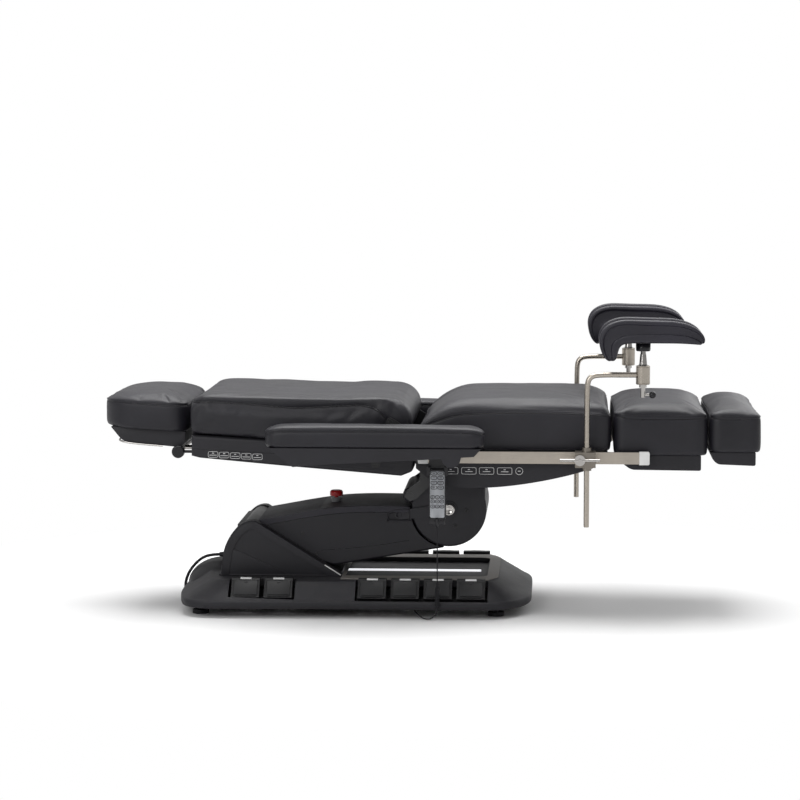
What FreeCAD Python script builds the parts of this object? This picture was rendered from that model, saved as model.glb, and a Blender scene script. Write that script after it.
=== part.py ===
"""Electric examination table, modelled in millimetres.

X runs from the head end (minus) to the foot end (plus), Z is up, the floor is Z 0 and the
origin lies under the middle of the whole table. Near pieces lie at minus Y. The table is
drawn in its low, flat position.
"""

import FreeCAD, Part
import math
import os
import Sketcher

Vector = FreeCAD.Vector
doc = FreeCAD.newDocument("examination_table")
sheet = doc.addObject("Spreadsheet::Sheet", "Sizes")

DIMENSIONS = {
    # lift geometry: lower pivot, upper pivot and the bar that keeps the head level
    "lift_pivot_x": -541.6,
    "lift_pivot_z": 238.2,
    "head_pivot_x": 55,
    "head_pivot_z": 302,
    "link_drop": 75,
    "shaft_radius": 15,
    "pin_radius": 8,
    "running_gap": 0.4,
    "fit_gap": 0.1,
    # base
    "base_left": -757,
    "base_right": 312,
    "base_half_width": 350,
    "base_underside": 28,
    "rim_height": 52,
    "deck_height": 104,
    "deck_half_width": 296,
    "deck_right": 205,
    "base_wall": 5,
    "dome_height": 128,
    "tray_left": -272,
    "tray_right": 172,
    "tray_half_width": 190,
    "tray_depth": 14,
    "trim_thickness": 1.6,
    "trim_band": 66,
    "frame_half_width": 176,
    "frame_bottom": 30,
    "frame_top": 66,
    "cheek_thickness": 12,
    "foot_radius": 24,
    "foot_spread": 262,
    # rear housing around the arm
    "housing_half_width": 200,
    "housing_slot": 160,
    "housing_wall": 4,
    "housing_right": -268,
    # pedals
    "pedal_width": 84,
    "pedal_pitch": 97.5,
    "pedal_depth": 13,
    "pedal_first_right": -208,
    "pedal_first_left": -584,
    "plunger_y": 303,
    # lift arm
    "arm_half_width": 150,
    "arm_wall": 4,
    "beam_half_width": 110,
    "beam_half_height": 30,
    "head_radius": 113,
    "plate_thickness": 6,
    # emergency stop
    "stop_x": -296,
    "stop_radius": 20,
    "stop_throw": 5,
    # seat
    "tilt_x": -62,
    "tilt_z": 345,
    "seat_left": -30,
    "seat_right": 537,
    "seat_top": 646,
    "seat_bottom": 497,
    "cushion_half_width": 300,
    "frame_low": 464,
    "rail_gap": 25,
    "rail_thickness": 10,
    "rail_height": 35,
    "rail_length": 619,
    "cap_length": 30,
    "shroud_inset": 15,
    "shroud_wall": 4,
    "bulge_bottom": 374.5,
    # back
    "back_pivot_x": -112,
    "back_pivot_z": 582,
    "nose_radius": 66,
    "back_left": -711,
    "back_top": 656,
    # head rest
    "head_left": -977,
    "head_right": -722,
    "head_top": 650,
    "head_low": 539,
    "head_tilt_x": -752,
    "head_tilt_z": 480,
    "bar_radius": 7,
    "bar_spread": 100,
    "bar_length": 240,
    "knob_radius": 19,
    # leg and foot sections
    "leg_left": 543,
    "leg_right": 821,
    "leg_top": 633,
    "leg_bottom": 484,
    "leg_pivot_x": 540,
    "leg_pivot_z": 473,
    "foot_left": 825,
    "foot_right": 977,
    "foot_top": 628,
    "foot_pivot_x": 823,
    "foot_pivot_z": 474,
    # armrests
    "armrest_left": -472,
    "armrest_right": 169,
    "armrest_gap": 37,
    "armrest_width": 96,
    "armrest_top": 584,
    "armrest_seam": 518,
    "armrest_pivot_x": 73,
    "armrest_pivot_z": 490,
    # knee supports
    "post_x": 465,
    "post_gap": 23,
    "post_radius": 8,
    "post_bottom": 280,
    "post_top": 727,
    "post_bend": 47,
    "knuckle_x": 627,
    "knuckle_radius": 20.5,
    "knuckle_height": 56,
    "stem_radius": 7,
    "pad_tilt_z": 803,
    "pad_left": 491,
    "pad_right": 797,
    "pad_bottom": 818,
    "far_support_shift": 25,
    "pad_top": 891,
    "pad_width": 150,
    "pad_wall": 17,
    # handset and its holder
    "handset_x": 29,
    "handset_width": 50,
    "handset_height": 147,
    "handset_depth": 24,
    "handset_bottom": 299,
    "handset_gap": 23,
    "handset_stem_offset": 10.5,
    # cords
    "power_cord_diameter": 9,
    "handset_cord_diameter": 5,
    "curl_diameter": 15,
}


class Size:
    """A value together with the sheet expression that gives it."""

    def __init__(self, text, value):
        self.text = text
        self.value = float(value)

    def combine(self, other, sign, result):
        other_text = other.text if isinstance(other, Size) else repr(float(other))
        return Size(f"({self.text} {sign} {other_text})", result)

    def __add__(self, other):
        return self.combine(other, "+", self.value + number(other))

    def __sub__(self, other):
        return self.combine(other, "-", self.value - number(other))

    def __mul__(self, other):
        return self.combine(other, "*", self.value * number(other))

    def __truediv__(self, other):
        return self.combine(other, "/", self.value / number(other))

    def __neg__(self):
        return Size(f"(0 - {self.text})", -self.value)


def number(value):
    """The plain number of a size or of a number."""
    return value.value if isinstance(value, Size) else float(value)


class Sizes:
    """Each name of the sheet as a Size."""


for row, (name, value) in enumerate(DIMENSIONS.items(), start=1):
    sheet.set(f"A{row}", name)
    sheet.set(f"B{row}", str(value))
    sheet.setAlias(f"B{row}", name)
    setattr(Sizes, name, Size(f"Sizes.{name}", value))
doc.recompute()
S = Sizes

# widths that follow from the cushions' width and a named clearance
S.shroud_half_width = S.cushion_half_width - S.shroud_inset
S.rail_outer = S.cushion_half_width + S.rail_gap
S.armrest_inner = S.rail_outer + S.armrest_gap
S.post_y = S.rail_outer + S.post_gap
S.handset_y = S.rail_outer + S.handset_gap
S.handset_cord_y = S.handset_y + S.handset_stem_offset


def bind(item, path, value):
    """Set a property from a number, or tie it to the sheet."""
    if isinstance(value, Size):
        item.setExpression(path, value.text)
        return
    if "." in path or "[" in path:
        item.setExpression(path, repr(float(value)))
        return
    setattr(item, path, float(value))


# Parametric helpers

def new_body(label):
    body = doc.addObject("PartDesign::Body", label)
    body.Label = label
    return body


def sketch_on(body, plane, offset):
    """An empty sketch on an origin plane of its body, moved along the plane's normal."""
    sketch = body.newObject("Sketcher::SketchObject", body.Label + "_sketch")
    role = plane + "_Plane"
    support = next(f for f in body.Origin.OriginFeatures if f.Role == role)
    sketch.AttachmentSupport = (support, [""])
    sketch.MapMode = "FlatFace"
    bind(sketch, "AttachmentOffset.Base.z", offset)
    return sketch


def draw_outline(sketch, points):
    """A closed straight-sided outline, each corner tied to the sheet."""
    first = sketch.GeometryCount
    count = len(points)
    for index in range(count):
        start = points[index]
        end = points[(index + 1) % count]
        line = Part.LineSegment(
            Vector(number(start[0]), number(start[1]), 0), Vector(number(end[0]), number(end[1]), 0)
        )
        sketch.addGeometry(line, False)
    for index in range(count):
        follower = first + (index + 1) % count
        sketch.addConstraint(Sketcher.Constraint("Coincident", first + index, 2, follower, 1))
    for index, point in enumerate(points):
        for kind, value in (("DistanceX", point[0]), ("DistanceY", point[1])):
            rule = Sketcher.Constraint(kind, -1, 1, first + index, 1, number(value))
            place = sketch.addConstraint(rule)
            if isinstance(value, Size):
                sketch.setExpression(f"Constraints[{place}]", value.text)


def draw_circle(sketch, centre, radius):
    circle = Part.Circle(Vector(number(centre[0]), number(centre[1]), 0), Vector(0, 0, 1), number(radius))
    place = sketch.addGeometry(circle, False)
    for kind, value in (("DistanceX", centre[0]), ("DistanceY", centre[1])):
        rule = sketch.addConstraint(Sketcher.Constraint(kind, -1, 1, place, 3, number(value)))
        if isinstance(value, Size):
            sketch.setExpression(f"Constraints[{rule}]", value.text)
    rule = sketch.addConstraint(Sketcher.Constraint("Radius", place, number(radius)))
    if isinstance(radius, Size):
        sketch.setExpression(f"Constraints[{rule}]", radius.text)


def extrude(kind, body, plane, shapes, low, high):
    """Pad or pocket outlines between two heights along a plane's axis.

    The normal of XZ points to minus Y, that of XY to plus Z and that of YZ to plus X.
    """
    backwards = plane == "XZ"
    base = -high if backwards else low
    far = -low if backwards else high
    sketch = sketch_on(body, plane, base if kind == "PartDesign::Pad" else far)
    for shape in shapes:
        if len(shape) == 2 and not isinstance(shape[1], tuple):
            draw_circle(sketch, shape[0], shape[1])
        else:
            draw_outline(sketch, shape)
    feature = body.newObject(kind, body.Label + "_" + kind.split("::")[1].lower())
    feature.Profile = sketch
    bind(feature, "Length", high - low)
    doc.recompute()
    return feature


def pad(body, plane, shapes, low, high):
    return extrude("PartDesign::Pad", body, plane, shapes, low, high)


def pocket(body, plane, shapes, low, high):
    return extrude("PartDesign::Pocket", body, plane, shapes, low, high)


def rectangle(left, right, low, high):
    return [(left, low), (right, low), (right, high), (left, high)]


def round_edges(body, radius, chosen):
    """Round the edges of a body's tip that a test picks."""
    tip = body.Tip
    names = []
    for index, edge in enumerate(tip.Shape.Edges, start=1):
        if chosen(edge):
            names.append(f"Edge{index}")
    fillet = body.newObject("PartDesign::Fillet", body.Label + "_fillet")
    fillet.Base = (tip, names)
    bind(fillet, "Radius", radius)
    doc.recompute()
    return fillet


def along(axis, at=None):
    """Straight edges along an axis, all of them or those near given places across it."""
    index = "XYZ".index(axis)

    def test(edge):
        if edge.Curve.TypeId != "Part::GeomLine":
            return False
        direction = edge.tangentAt(edge.FirstParameter)
        if abs(direction[index]) < 0.999:
            return False
        if at is None:
            return True
        centre = edge.CenterOfMass
        across = [centre[k] for k in range(3) if k != index]
        return any(
            abs(across[0] - number(p[0])) < 1.5 and abs(across[1] - number(p[1])) < 1.5 for p in at
        )

    return test


def at_level(axis, level, floor=-1e6, ceiling=1e6):
    """Edges that lie wholly at one height along an axis, with their middles in a range of Z."""
    index = "XYZ".index(axis)
    tolerance = 0.5

    def test(edge):
        box = edge.BoundBox
        low = (box.XMin, box.YMin, box.ZMin)[index]
        high = (box.XMax, box.YMax, box.ZMax)[index]
        flat = abs(low - number(level)) < tolerance and abs(high - number(level)) < tolerance
        return flat and number(floor) < edge.CenterOfMass.z < number(ceiling)

    return test


def either(*tests):
    return lambda edge: any(test(edge) for test in tests)


def primitive(kind, label, place, **sizes):
    """A Part primitive whose sizes and place are tied to the sheet."""
    item = doc.addObject(kind, label)
    item.Label = label
    for name, value in sizes.items():
        bind(item, name, value)
    for axis, value in zip("xyz", place):
        bind(item, f"Placement.Base.{axis}", value)
    return item


TURNS = {
    "Z": FreeCAD.Rotation(),
    "X": FreeCAD.Rotation(Vector(0, 1, 0), 90),
    "Y": FreeCAD.Rotation(Vector(1, 0, 0), -90),
}


def box(label, x_low, x_high, y_low, y_high, z_low, z_high):
    return primitive(
        "Part::Box",
        label,
        (x_low, y_low, z_low),
        Length=x_high - x_low,
        Width=y_high - y_low,
        Height=z_high - z_low,
    )


def rod(label, axis, start, radius, length):
    """A cylinder that runs from its start along plus X, Y or Z."""
    item = primitive("Part::Cylinder", label, start, Radius=radius, Height=length)
    item.Placement.Rotation = TURNS[axis]
    for name, value in zip("xyz", start):
        bind(item, f"Placement.Base.{name}", value)
    return item


def cone(label, axis, start, low_radius, high_radius, length):
    item = primitive("Part::Cone", label, start, Radius1=low_radius, Radius2=high_radius, Height=length)
    item.Placement.Rotation = TURNS[axis]
    for name, value in zip("xyz", start):
        bind(item, f"Placement.Base.{name}", value)
    return item


def fuse(label, pieces):
    item = doc.addObject("Part::MultiFuse", label)
    item.Label = label
    item.Shapes = pieces
    return item


def cut(label, base, tools):
    """A base less its tools."""
    if len(tools) > 1:
        tool = fuse(label + "_cutters", tools)
    else:
        tool = tools[0]
    item = doc.addObject("Part::Cut", label)
    item.Label = label
    item.Base = base
    item.Tool = tool
    return item


def group(label, pieces):
    """Separate solids that share one node."""
    item = doc.addObject("Part::Compound", label)
    item.Label = label
    item.Links = pieces
    return item


NODES = []


def keep(item):
    NODES.append(item)
    return item


def finish_node(label, item):
    item.Label = label
    return keep(item)


def smooth_path(points, ratio=0.45):
    """Straight runs joined by tangent arcs, each as large as its two runs allow."""
    points = [Vector(*point) for point in points]
    edges = []
    start = points[0]
    for index in range(1, len(points) - 1):
        before, corner, after = points[index - 1 : index + 2]
        to_before = (before - corner).normalize()
        to_after = (after - corner).normalize()
        turn = math.pi - to_before.getAngle(to_after)
        reach = ratio * min((before - corner).Length, (after - corner).Length)
        enter = corner + to_before * reach
        leave = corner + to_after * reach
        radius = reach / math.tan(turn / 2)
        bisector = (to_before + to_after).normalize()
        middle = corner + bisector * (radius / math.cos(turn / 2) - radius)
        print(f"  bend {index}: radius {radius:.0f} mm, turn {math.degrees(turn):.0f} degrees")
        edges.append(Part.LineSegment(start, enter).toShape())
        edges.append(Part.Arc(enter, middle, leave).toShape())
        start = leave
    edges.append(Part.LineSegment(start, points[-1]).toShape())
    return Part.Wire(edges)


def cord_shape(points, diameter):
    """A round cord along a smooth path; its volume is compared with section times length."""
    path = smooth_path(points)
    first = path.Edges[0]
    direction = first.tangentAt(first.FirstParameter)
    ring = Part.Wire(Part.Circle(Vector(*points[0]), direction, diameter / 2).toShape())
    solid = path.makePipeShell([ring], True, False)
    expected = math.pi * diameter**2 / 4 * path.Length
    print(f"  cord length {path.Length:.0f} mm, volume ratio {solid.Volume / expected:.3f}")
    return solid, path.Length


SIDES = (("near", -1), ("far", 1))


def mirrored(value, side):
    """A distance from the middle plane, on the near or far side."""
    return value * side


def y_range(inner, outer, side):
    """The low and high Y of a piece between two distances from the middle plane."""
    if side < 0:
        return -outer, -inner
    return inner, outer


# Base

def base_frame():
    """Welded channels, cheeks for the lift pivot and the link's bracket."""
    body = new_body("base_frame")
    inner = S.frame_half_width - 46
    outer = rectangle(-655, 180, -S.frame_half_width - 28, S.frame_half_width + 28)
    windows = [
        rectangle(-600, -300, -inner, inner),
        rectangle(-250, 140, -inner, inner),
    ]
    pad(body, "XY", [outer] + windows, S.frame_bottom, S.frame_top)
    cheek = [
        (S.lift_pivot_x - 62, S.frame_top - 6),
        (S.lift_pivot_x + 150, S.frame_top - 6),
        (S.lift_pivot_x + 60, S.lift_pivot_z - 40),
        (S.lift_pivot_x + 10, S.lift_pivot_z + 20),
        (S.lift_pivot_x - 12, S.lift_pivot_z + 20),
        (S.lift_pivot_x - 46, S.lift_pivot_z - 40),
    ]
    for low, high in (
        (-S.frame_half_width, -S.frame_half_width + S.cheek_thickness),
        (S.frame_half_width - S.cheek_thickness, S.frame_half_width),
    ):
        pad(body, "XZ", [cheek], low, high)
    cross = rectangle(
        S.lift_pivot_x - 36, S.lift_pivot_x + 36, -S.frame_half_width + 6, S.frame_half_width - 6
    )
    pad(body, "XY", [cross], S.frame_bottom, S.frame_top)
    bracket = rectangle(
        S.lift_pivot_x - 22, S.lift_pivot_x + 22, S.frame_top - 6, S.lift_pivot_z - S.link_drop + 14
    )
    for low, high in ((Size("0", 0) - 24, Size("0", 0) - 14), (Size("0", 0) + 14, Size("0", 0) + 24)):
        pad(body, "XZ", [bracket], low, high)
    link_pin = ((S.lift_pivot_x, S.lift_pivot_z - S.link_drop), S.pin_radius)
    pad(body, "XZ", [link_pin], Size("0", 0) - 26, Size("0", 0) + 26)
    shaft = ((S.lift_pivot_x, S.lift_pivot_z), S.shaft_radius)
    pad(body, "XZ", [shaft], -S.frame_half_width - 4, S.frame_half_width + 4)
    guides = []
    for _, side in SIDES:
        for first, count in ((S.pedal_first_left, 2), (S.pedal_first_right, 4)):
            length = S.pedal_pitch * (count - 1) + S.pedal_width
            low, high = y_range(S.plunger_y - 11, S.plunger_y + 11, side)
            pad(
                body,
                "XY",
                [rectangle(first, first + length, low, high)],
                S.rim_height - 12,
                S.rim_height + 4,
            )
            low, high = y_range(S.frame_half_width, S.plunger_y, side)
            beam = rectangle(first + length / 2 - 16, first + length / 2 + 16, low, high)
            pad(body, "XY", [beam], S.frame_bottom, S.rim_height - 10)
            for index in range(count):
                place = first + S.pedal_pitch * index + S.pedal_width / 2
                guides.append(((place, mirrored(S.plunger_y, side)), S.pin_radius - 2 + S.running_gap))
    pocket(body, "XY", guides, S.frame_bottom - 5, S.rim_height + 10)
    return finish_node("base_frame", body)


def base_outline(extra):
    """The plan of the base, drawn in or out by a distance."""
    half = S.base_half_width + extra
    return [
        (S.base_left - extra + 40, -half - 14),
        (-300, -half),
        (S.base_right + extra - 78, -half),
        (S.base_right + extra - 8, -half + 130),
        (S.base_right + extra - 8, half - 130),
        (S.base_right + extra - 78, half),
        (-300, half),
        (S.base_left - extra + 40, half + 14),
        (S.base_left - extra, half - 160),
        (S.base_left - extra, -half + 160),
    ]


def base_cover():
    """The moulded cover: a vertical skirt, sloped flanks, a flat deck and the rear dome."""
    zero = Size("0", 0)
    skirt = new_body("skirt")
    pad(skirt, "XY", [base_outline(zero)], S.base_underside, S.rim_height)
    round_edges(skirt, 40, along("Z", base_outline(zero)))

    flank = doc.addObject("Part::Loft", "flank")
    low = new_body("flank_low")
    low_sketch = sketch_on(low, "XY", S.rim_height)
    draw_outline(low_sketch, base_outline(zero - 4))
    high = new_body("flank_high")
    high_sketch = sketch_on(high, "XY", S.deck_height)
    edge = S.deck_half_width
    draw_outline(
        high_sketch,
        [
            (S.base_left + 130, -edge - 8),
            (-300, -edge),
            (S.deck_right - 40, -edge),
            (S.deck_right + 4, -edge + 70),
            (S.deck_right + 4, edge - 70),
            (S.deck_right - 40, edge),
            (-300, edge),
            (S.base_left + 130, edge + 8),
            (S.base_left + 82, edge - 110),
            (S.base_left + 82, -edge + 110),
        ],
    )
    flank.Sections = [low_sketch, high_sketch]
    flank.Solid = True
    flank.Ruled = True

    dome = primitive(
        "Part::Ellipsoid", "dome", (-648, 0, S.rim_height), Radius1=S.dome_height - S.rim_height
    )
    bind(dome, "Radius2", 104)
    bind(dome, "Radius3", 150)
    dome.Angle1 = 0
    dome.Angle2 = 90
    outside = fuse("cover_outside", [skirt, flank, dome])

    hollow = new_body("cover_hollow")
    pad(hollow, "XY", [base_outline(-S.base_wall * 3)], S.base_underside - 1, S.rim_height - 2)
    core = new_body("cover_core")
    inner = rectangle(S.base_left + 95, S.deck_right - 18, -edge + 20, edge - 20)
    pad(core, "XY", [inner], S.base_underside - 1, S.deck_height - S.base_wall - S.tray_depth)
    raised = new_body("cover_raised")
    well = rectangle(S.base_left + 120, S.tray_left - 12, -edge + 24, edge - 24)
    pad(raised, "XY", [well], S.base_underside - 1, S.deck_height - S.base_wall)
    tray = new_body("tray_recess")
    tray_plan = rectangle(S.tray_left, S.tray_right, -S.tray_half_width, S.tray_half_width)
    pad(tray, "XY", [tray_plan], S.deck_height - S.tray_depth, S.deck_height + 40)
    round_edges(tray, 26, along("Z"))
    slots = []
    for name, side in SIDES:
        low_y, high_y = y_range(S.frame_half_width - S.cheek_thickness - 3, S.frame_half_width + 3, side)
        slots.append(
            box(
                "cheek_slot_" + name,
                S.lift_pivot_x - 66,
                S.lift_pivot_x + 154,
                low_y,
                high_y,
                zero + 20,
                zero + 200,
            )
        )
    slots.append(
        box(
            "bracket_slot",
            S.lift_pivot_x - 30,
            S.lift_pivot_x + 30,
            zero - 30,
            zero + 30,
            zero + 20,
            zero + 200,
        )
    )
    for row_name, side in SIDES:
        for bank, first, count in (("left", S.pedal_first_left, 2), ("right", S.pedal_first_right, 4)):
            x_low = first - 8
            x_high = first + S.pedal_pitch * (count - 1) + S.pedal_width + 8
            low_y, high_y = y_range(S.deck_half_width - 30, S.base_half_width - 6, side)
            floor = S.rim_height - 6
            slots.append(
                box(f"pedal_bay_{row_name}_{bank}", x_low, x_high, low_y, high_y, floor, zero + 160)
            )
    seat = S.housing_half_width + 0.4
    slots.append(
        box(
            "housing_seat",
            S.lift_pivot_x - 89.4,
            S.lift_pivot_x + 40,
            -seat,
            seat,
            S.deck_height,
            zero + 200,
        ),
    )
    return finish_node("base_cover", cut("base_cover", outside, [hollow, core, raised, tray] + slots))


def tray_trim():
    """The thin frame around the tray, with its wide band at the foot end."""
    zero = Size("0", 0)
    body = new_body("tray_trim")
    half = S.tray_half_width + S.trim_band
    outer = [
        (S.housing_right + 4, -half),
        (S.deck_right - 30, -half),
        (S.deck_right, -half + 60),
        (S.deck_right, half - 60),
        (S.deck_right - 30, half),
        (S.housing_right + 4, half),
    ]
    inner = rectangle(S.housing_right + 14, S.tray_right, -S.tray_half_width, S.tray_half_width)
    pad(body, "XY", [outer, inner], S.deck_height, S.deck_height + S.trim_thickness)
    round_edges(
        body, 26, along("Z", [(S.tray_right, S.tray_half_width), (S.tray_right, -S.tray_half_width)])
    )
    return finish_node("tray_trim", body)


def levelling_feet():
    zero = Size("0", 0)
    pieces = []
    for x_name, x_place in (("left", S.base_left + 74), ("right", S.base_right - 112)):
        for name, side in SIDES:
            y_place = mirrored(S.foot_spread, side)
            tag = f"foot_{x_name}_{name}"
            disc = rod(tag + "_disc", "Z", (x_place, y_place, zero), S.foot_radius, zero + 12)
            stud = rod(tag + "_stud", "Z", (x_place, y_place, zero + 10), zero + 7, S.rim_height - 12)
            pieces.append(fuse(tag, [disc, stud]))
    return finish_node("levelling_feet", group("levelling_feet", pieces))


def rear_housing():
    """The clevis that stands around the arm's lower end, hollow in its two walls."""
    body = new_body("rear_housing")
    top = S.lift_pivot_z + 33
    base = S.deck_height + 0.3
    outline = [
        (S.lift_pivot_x - 89, base),
        (S.housing_right, base),
        (S.housing_right, base + 6),
        (S.lift_pivot_x + 12, top),
        (S.lift_pivot_x - 16, top),
        (S.lift_pivot_x - 62, top - 46),
        (S.lift_pivot_x - 84, top - 130),
    ]
    pad(body, "XZ", [outline], -S.housing_half_width, S.housing_half_width)
    round_edges(
        body,
        26,
        along("Y", [(S.lift_pivot_x - 16, top), (S.lift_pivot_x - 62, top - 46)]),
    )
    for level in (S.housing_half_width, -S.housing_half_width):
        round_edges(body, 5, at_level("Y", level, base + 10))
    slot = [
        (S.lift_pivot_x - 66, base - 5),
        (S.housing_right + 5, base - 5),
        (S.housing_right + 5, top + 60),
        (S.lift_pivot_x - 48, top + 60),
        (S.lift_pivot_x - 48, top - 46),
        (S.lift_pivot_x - 66, top - 120),
    ]
    pocket(body, "XZ", [slot], -S.housing_slot, S.housing_slot)
    cavity = [
        (S.lift_pivot_x - 74, base - 5),
        (S.housing_right - 60, base - 5),
        (S.lift_pivot_x + 8, top - 8),
        (S.lift_pivot_x - 15, top - 8),
        (S.lift_pivot_x - 54, top - 50),
    ]
    for _, side in SIDES:
        low, high = y_range(
            S.housing_slot + S.housing_wall - 2, S.housing_half_width - S.housing_wall, side
        )
        pocket(body, "XZ", [cavity], low, high)
    bore = ((S.lift_pivot_x, S.lift_pivot_z), S.shaft_radius + S.running_gap)
    pocket(body, "XZ", [bore], -S.housing_slot - 10, S.housing_slot + 10)
    return finish_node("rear_housing", body)


def cable_gland():
    """The strain relief at the back of the housing."""
    zero = Size("0", 0)
    start = (S.lift_pivot_x - 112, zero - 30, zero + 142)
    sleeve = cone(
        "gland_sleeve",
        "X",
        start,
        S.power_cord_diameter / 2 + 2,
        S.power_cord_diameter / 2 + 5,
        zero + 26.5,
    )
    bore = rod(
        "gland_bore",
        "X",
        (start[0] - 1, start[1], start[2]),
        S.power_cord_diameter / 2 + S.fit_gap,
        zero + 12,
    )
    return finish_node("cable_gland", cut("cable_gland", sleeve, [bore]))


def power_cord():
    """The mains lead: over the dome, down the head end and round behind the base."""
    gland_x = number(S.lift_pivot_x) - 112 + 11
    route = [
        (gland_x, -30, 142),
        (gland_x - 30, -30, 142),
        (gland_x - 66, -28, 132),
        (gland_x - 100, -22, 98),
        (gland_x - 119, -4, 60),
        (gland_x - 125, 26, 28),
        (gland_x - 123, 66, 10),
        (gland_x - 121.5, 118, 4.6),
        (gland_x - 119, 178, 4.6),
        (gland_x - 113, 238, 4.6),
        (gland_x - 101, 296, 4.6),
        (gland_x - 77, 350, 4.6),
        (gland_x - 37, 392, 4.6),
        (gland_x + 15, 415, 4.6),
        (gland_x + 72, 426, 4.6),
        (gland_x + 114, 431.3, 5),
    ]
    item = doc.addObject("Part::Feature", "power_cord")
    item.Shape, _ = cord_shape(route, number(S.power_cord_diameter))
    return finish_node("power_cord", item)


def power_coil():
    """The coiled rest of the lead, lying behind the base."""
    zero = Size("0", 0)
    ring = primitive("Part::Torus", "coil_ring", (-502, 486, 15.2), Radius1=zero + 52, Radius2=zero + 15)
    return finish_node("power_coil", ring)


def power_plug():
    """The plug at the end of the lead: body, strain relief and two round pins."""
    zero = Size("0", 0)
    shell = cone(
        "plug_shell", "X", (zero - 404, zero + 486, zero + 18.2), zero + 12, zero + 18, zero + 36
    )
    relief = cone(
        "plug_relief", "X", (zero - 434.7, zero + 486, zero + 18.2), zero + 6, zero + 9, zero + 31
    )
    pins = []
    for name, offset in (("low", -9.5), ("high", 9.5)):
        start = (zero - 370, zero + 486 + offset, zero + 18.2)
        pins.append(rod("plug_pin_" + name, "X", start, zero + 2.4, zero + 21))
    return finish_node("power_plug", fuse("power_plug", [shell, relief] + pins))


def foot_pedals():
    """Rocker pedals in two banks on each side: a sloped frame with a recessed face."""
    zero = Size("0", 0)
    for row_name, side in SIDES:
        for bank, first, count in (("left", S.pedal_first_left, 2), ("right", S.pedal_first_right, 4)):
            for index in range(count):
                name = f"pedal_{row_name}_{bank}_{index + 1}"
                body = new_body(name)
                top_y = S.deck_half_width + 2
                low_y = S.base_half_width - 9
                section = [
                    (mirrored(top_y - 26, side), S.deck_height - 4),
                    (mirrored(top_y - 26, side), S.deck_height + 8),
                    (mirrored(top_y, side), S.deck_height + 8),
                    (mirrored(low_y, side), S.rim_height + 9),
                    (mirrored(low_y - 11, side), S.rim_height + 1),
                    (mirrored(top_y - 7, side), S.deck_height - 4),
                ]
                start = first + S.pedal_pitch * index
                pad(body, "YZ", [section], start, start + S.pedal_width)
                round_edges(body, 3, along("X", [section[2], section[3]]))
                plunger = ((start + S.pedal_width / 2, mirrored(S.plunger_y, side)), S.pin_radius - 2)
                pad(body, "XY", [plunger], S.rim_height - 14, S.deck_height - 2)
                finish_node(name, body)


# Lift arm and its head

def axis_point(share):
    """A point on the line between the two lift pivots."""
    x = S.lift_pivot_x + (S.head_pivot_x - S.lift_pivot_x) * share
    z = S.lift_pivot_z + (S.head_pivot_z - S.lift_pivot_z) * share
    return x, z


def lift_arm():
    """The steel beam inside the cover, with the pivot sleeve and plate bosses."""
    body = new_body("lift_arm")
    start = axis_point(0)
    end = axis_point(0.77)
    half = S.beam_half_height
    beam = [
        (start[0], start[1] - half),
        (end[0], end[1] - half),
        (end[0], end[1] + half - 16),
        (start[0], start[1] + half - 24),
    ]
    pad(body, "XZ", [beam], -S.beam_half_width, S.beam_half_width)
    pad(body, "XZ", [(start, half)], -S.arm_half_width, S.arm_half_width)
    boss = (S.head_pivot_x - 152, S.head_pivot_z - 16)
    pad(body, "XZ", [(boss, Size("0", 0) + 13)], -S.arm_half_width - 0.6, S.arm_half_width + 0.6)
    bore = (start, S.shaft_radius + S.running_gap)
    pocket(body, "XZ", [bore], -S.arm_half_width - 5, S.arm_half_width + 5)
    return finish_node("lift_arm", body)


def arm_cover_outline():
    pivot_x, pivot_z = S.lift_pivot_x, S.lift_pivot_z
    return [
        (pivot_x - 42, pivot_z - 22),
        (pivot_x + 14, pivot_z - 52),
        (S.stop_x + 6, S.head_pivot_z - 171),
        (S.head_pivot_x + 4, S.head_pivot_z - 112),
        (S.head_pivot_x - 10, S.head_pivot_z + 7),
        (S.head_pivot_x - 262, S.head_pivot_z + 8.5),
        (S.head_pivot_x - 372, S.head_pivot_z + 1),
        (pivot_x + 20, pivot_z + 24),
        (pivot_x - 42, pivot_z + 14),
    ]


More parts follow.
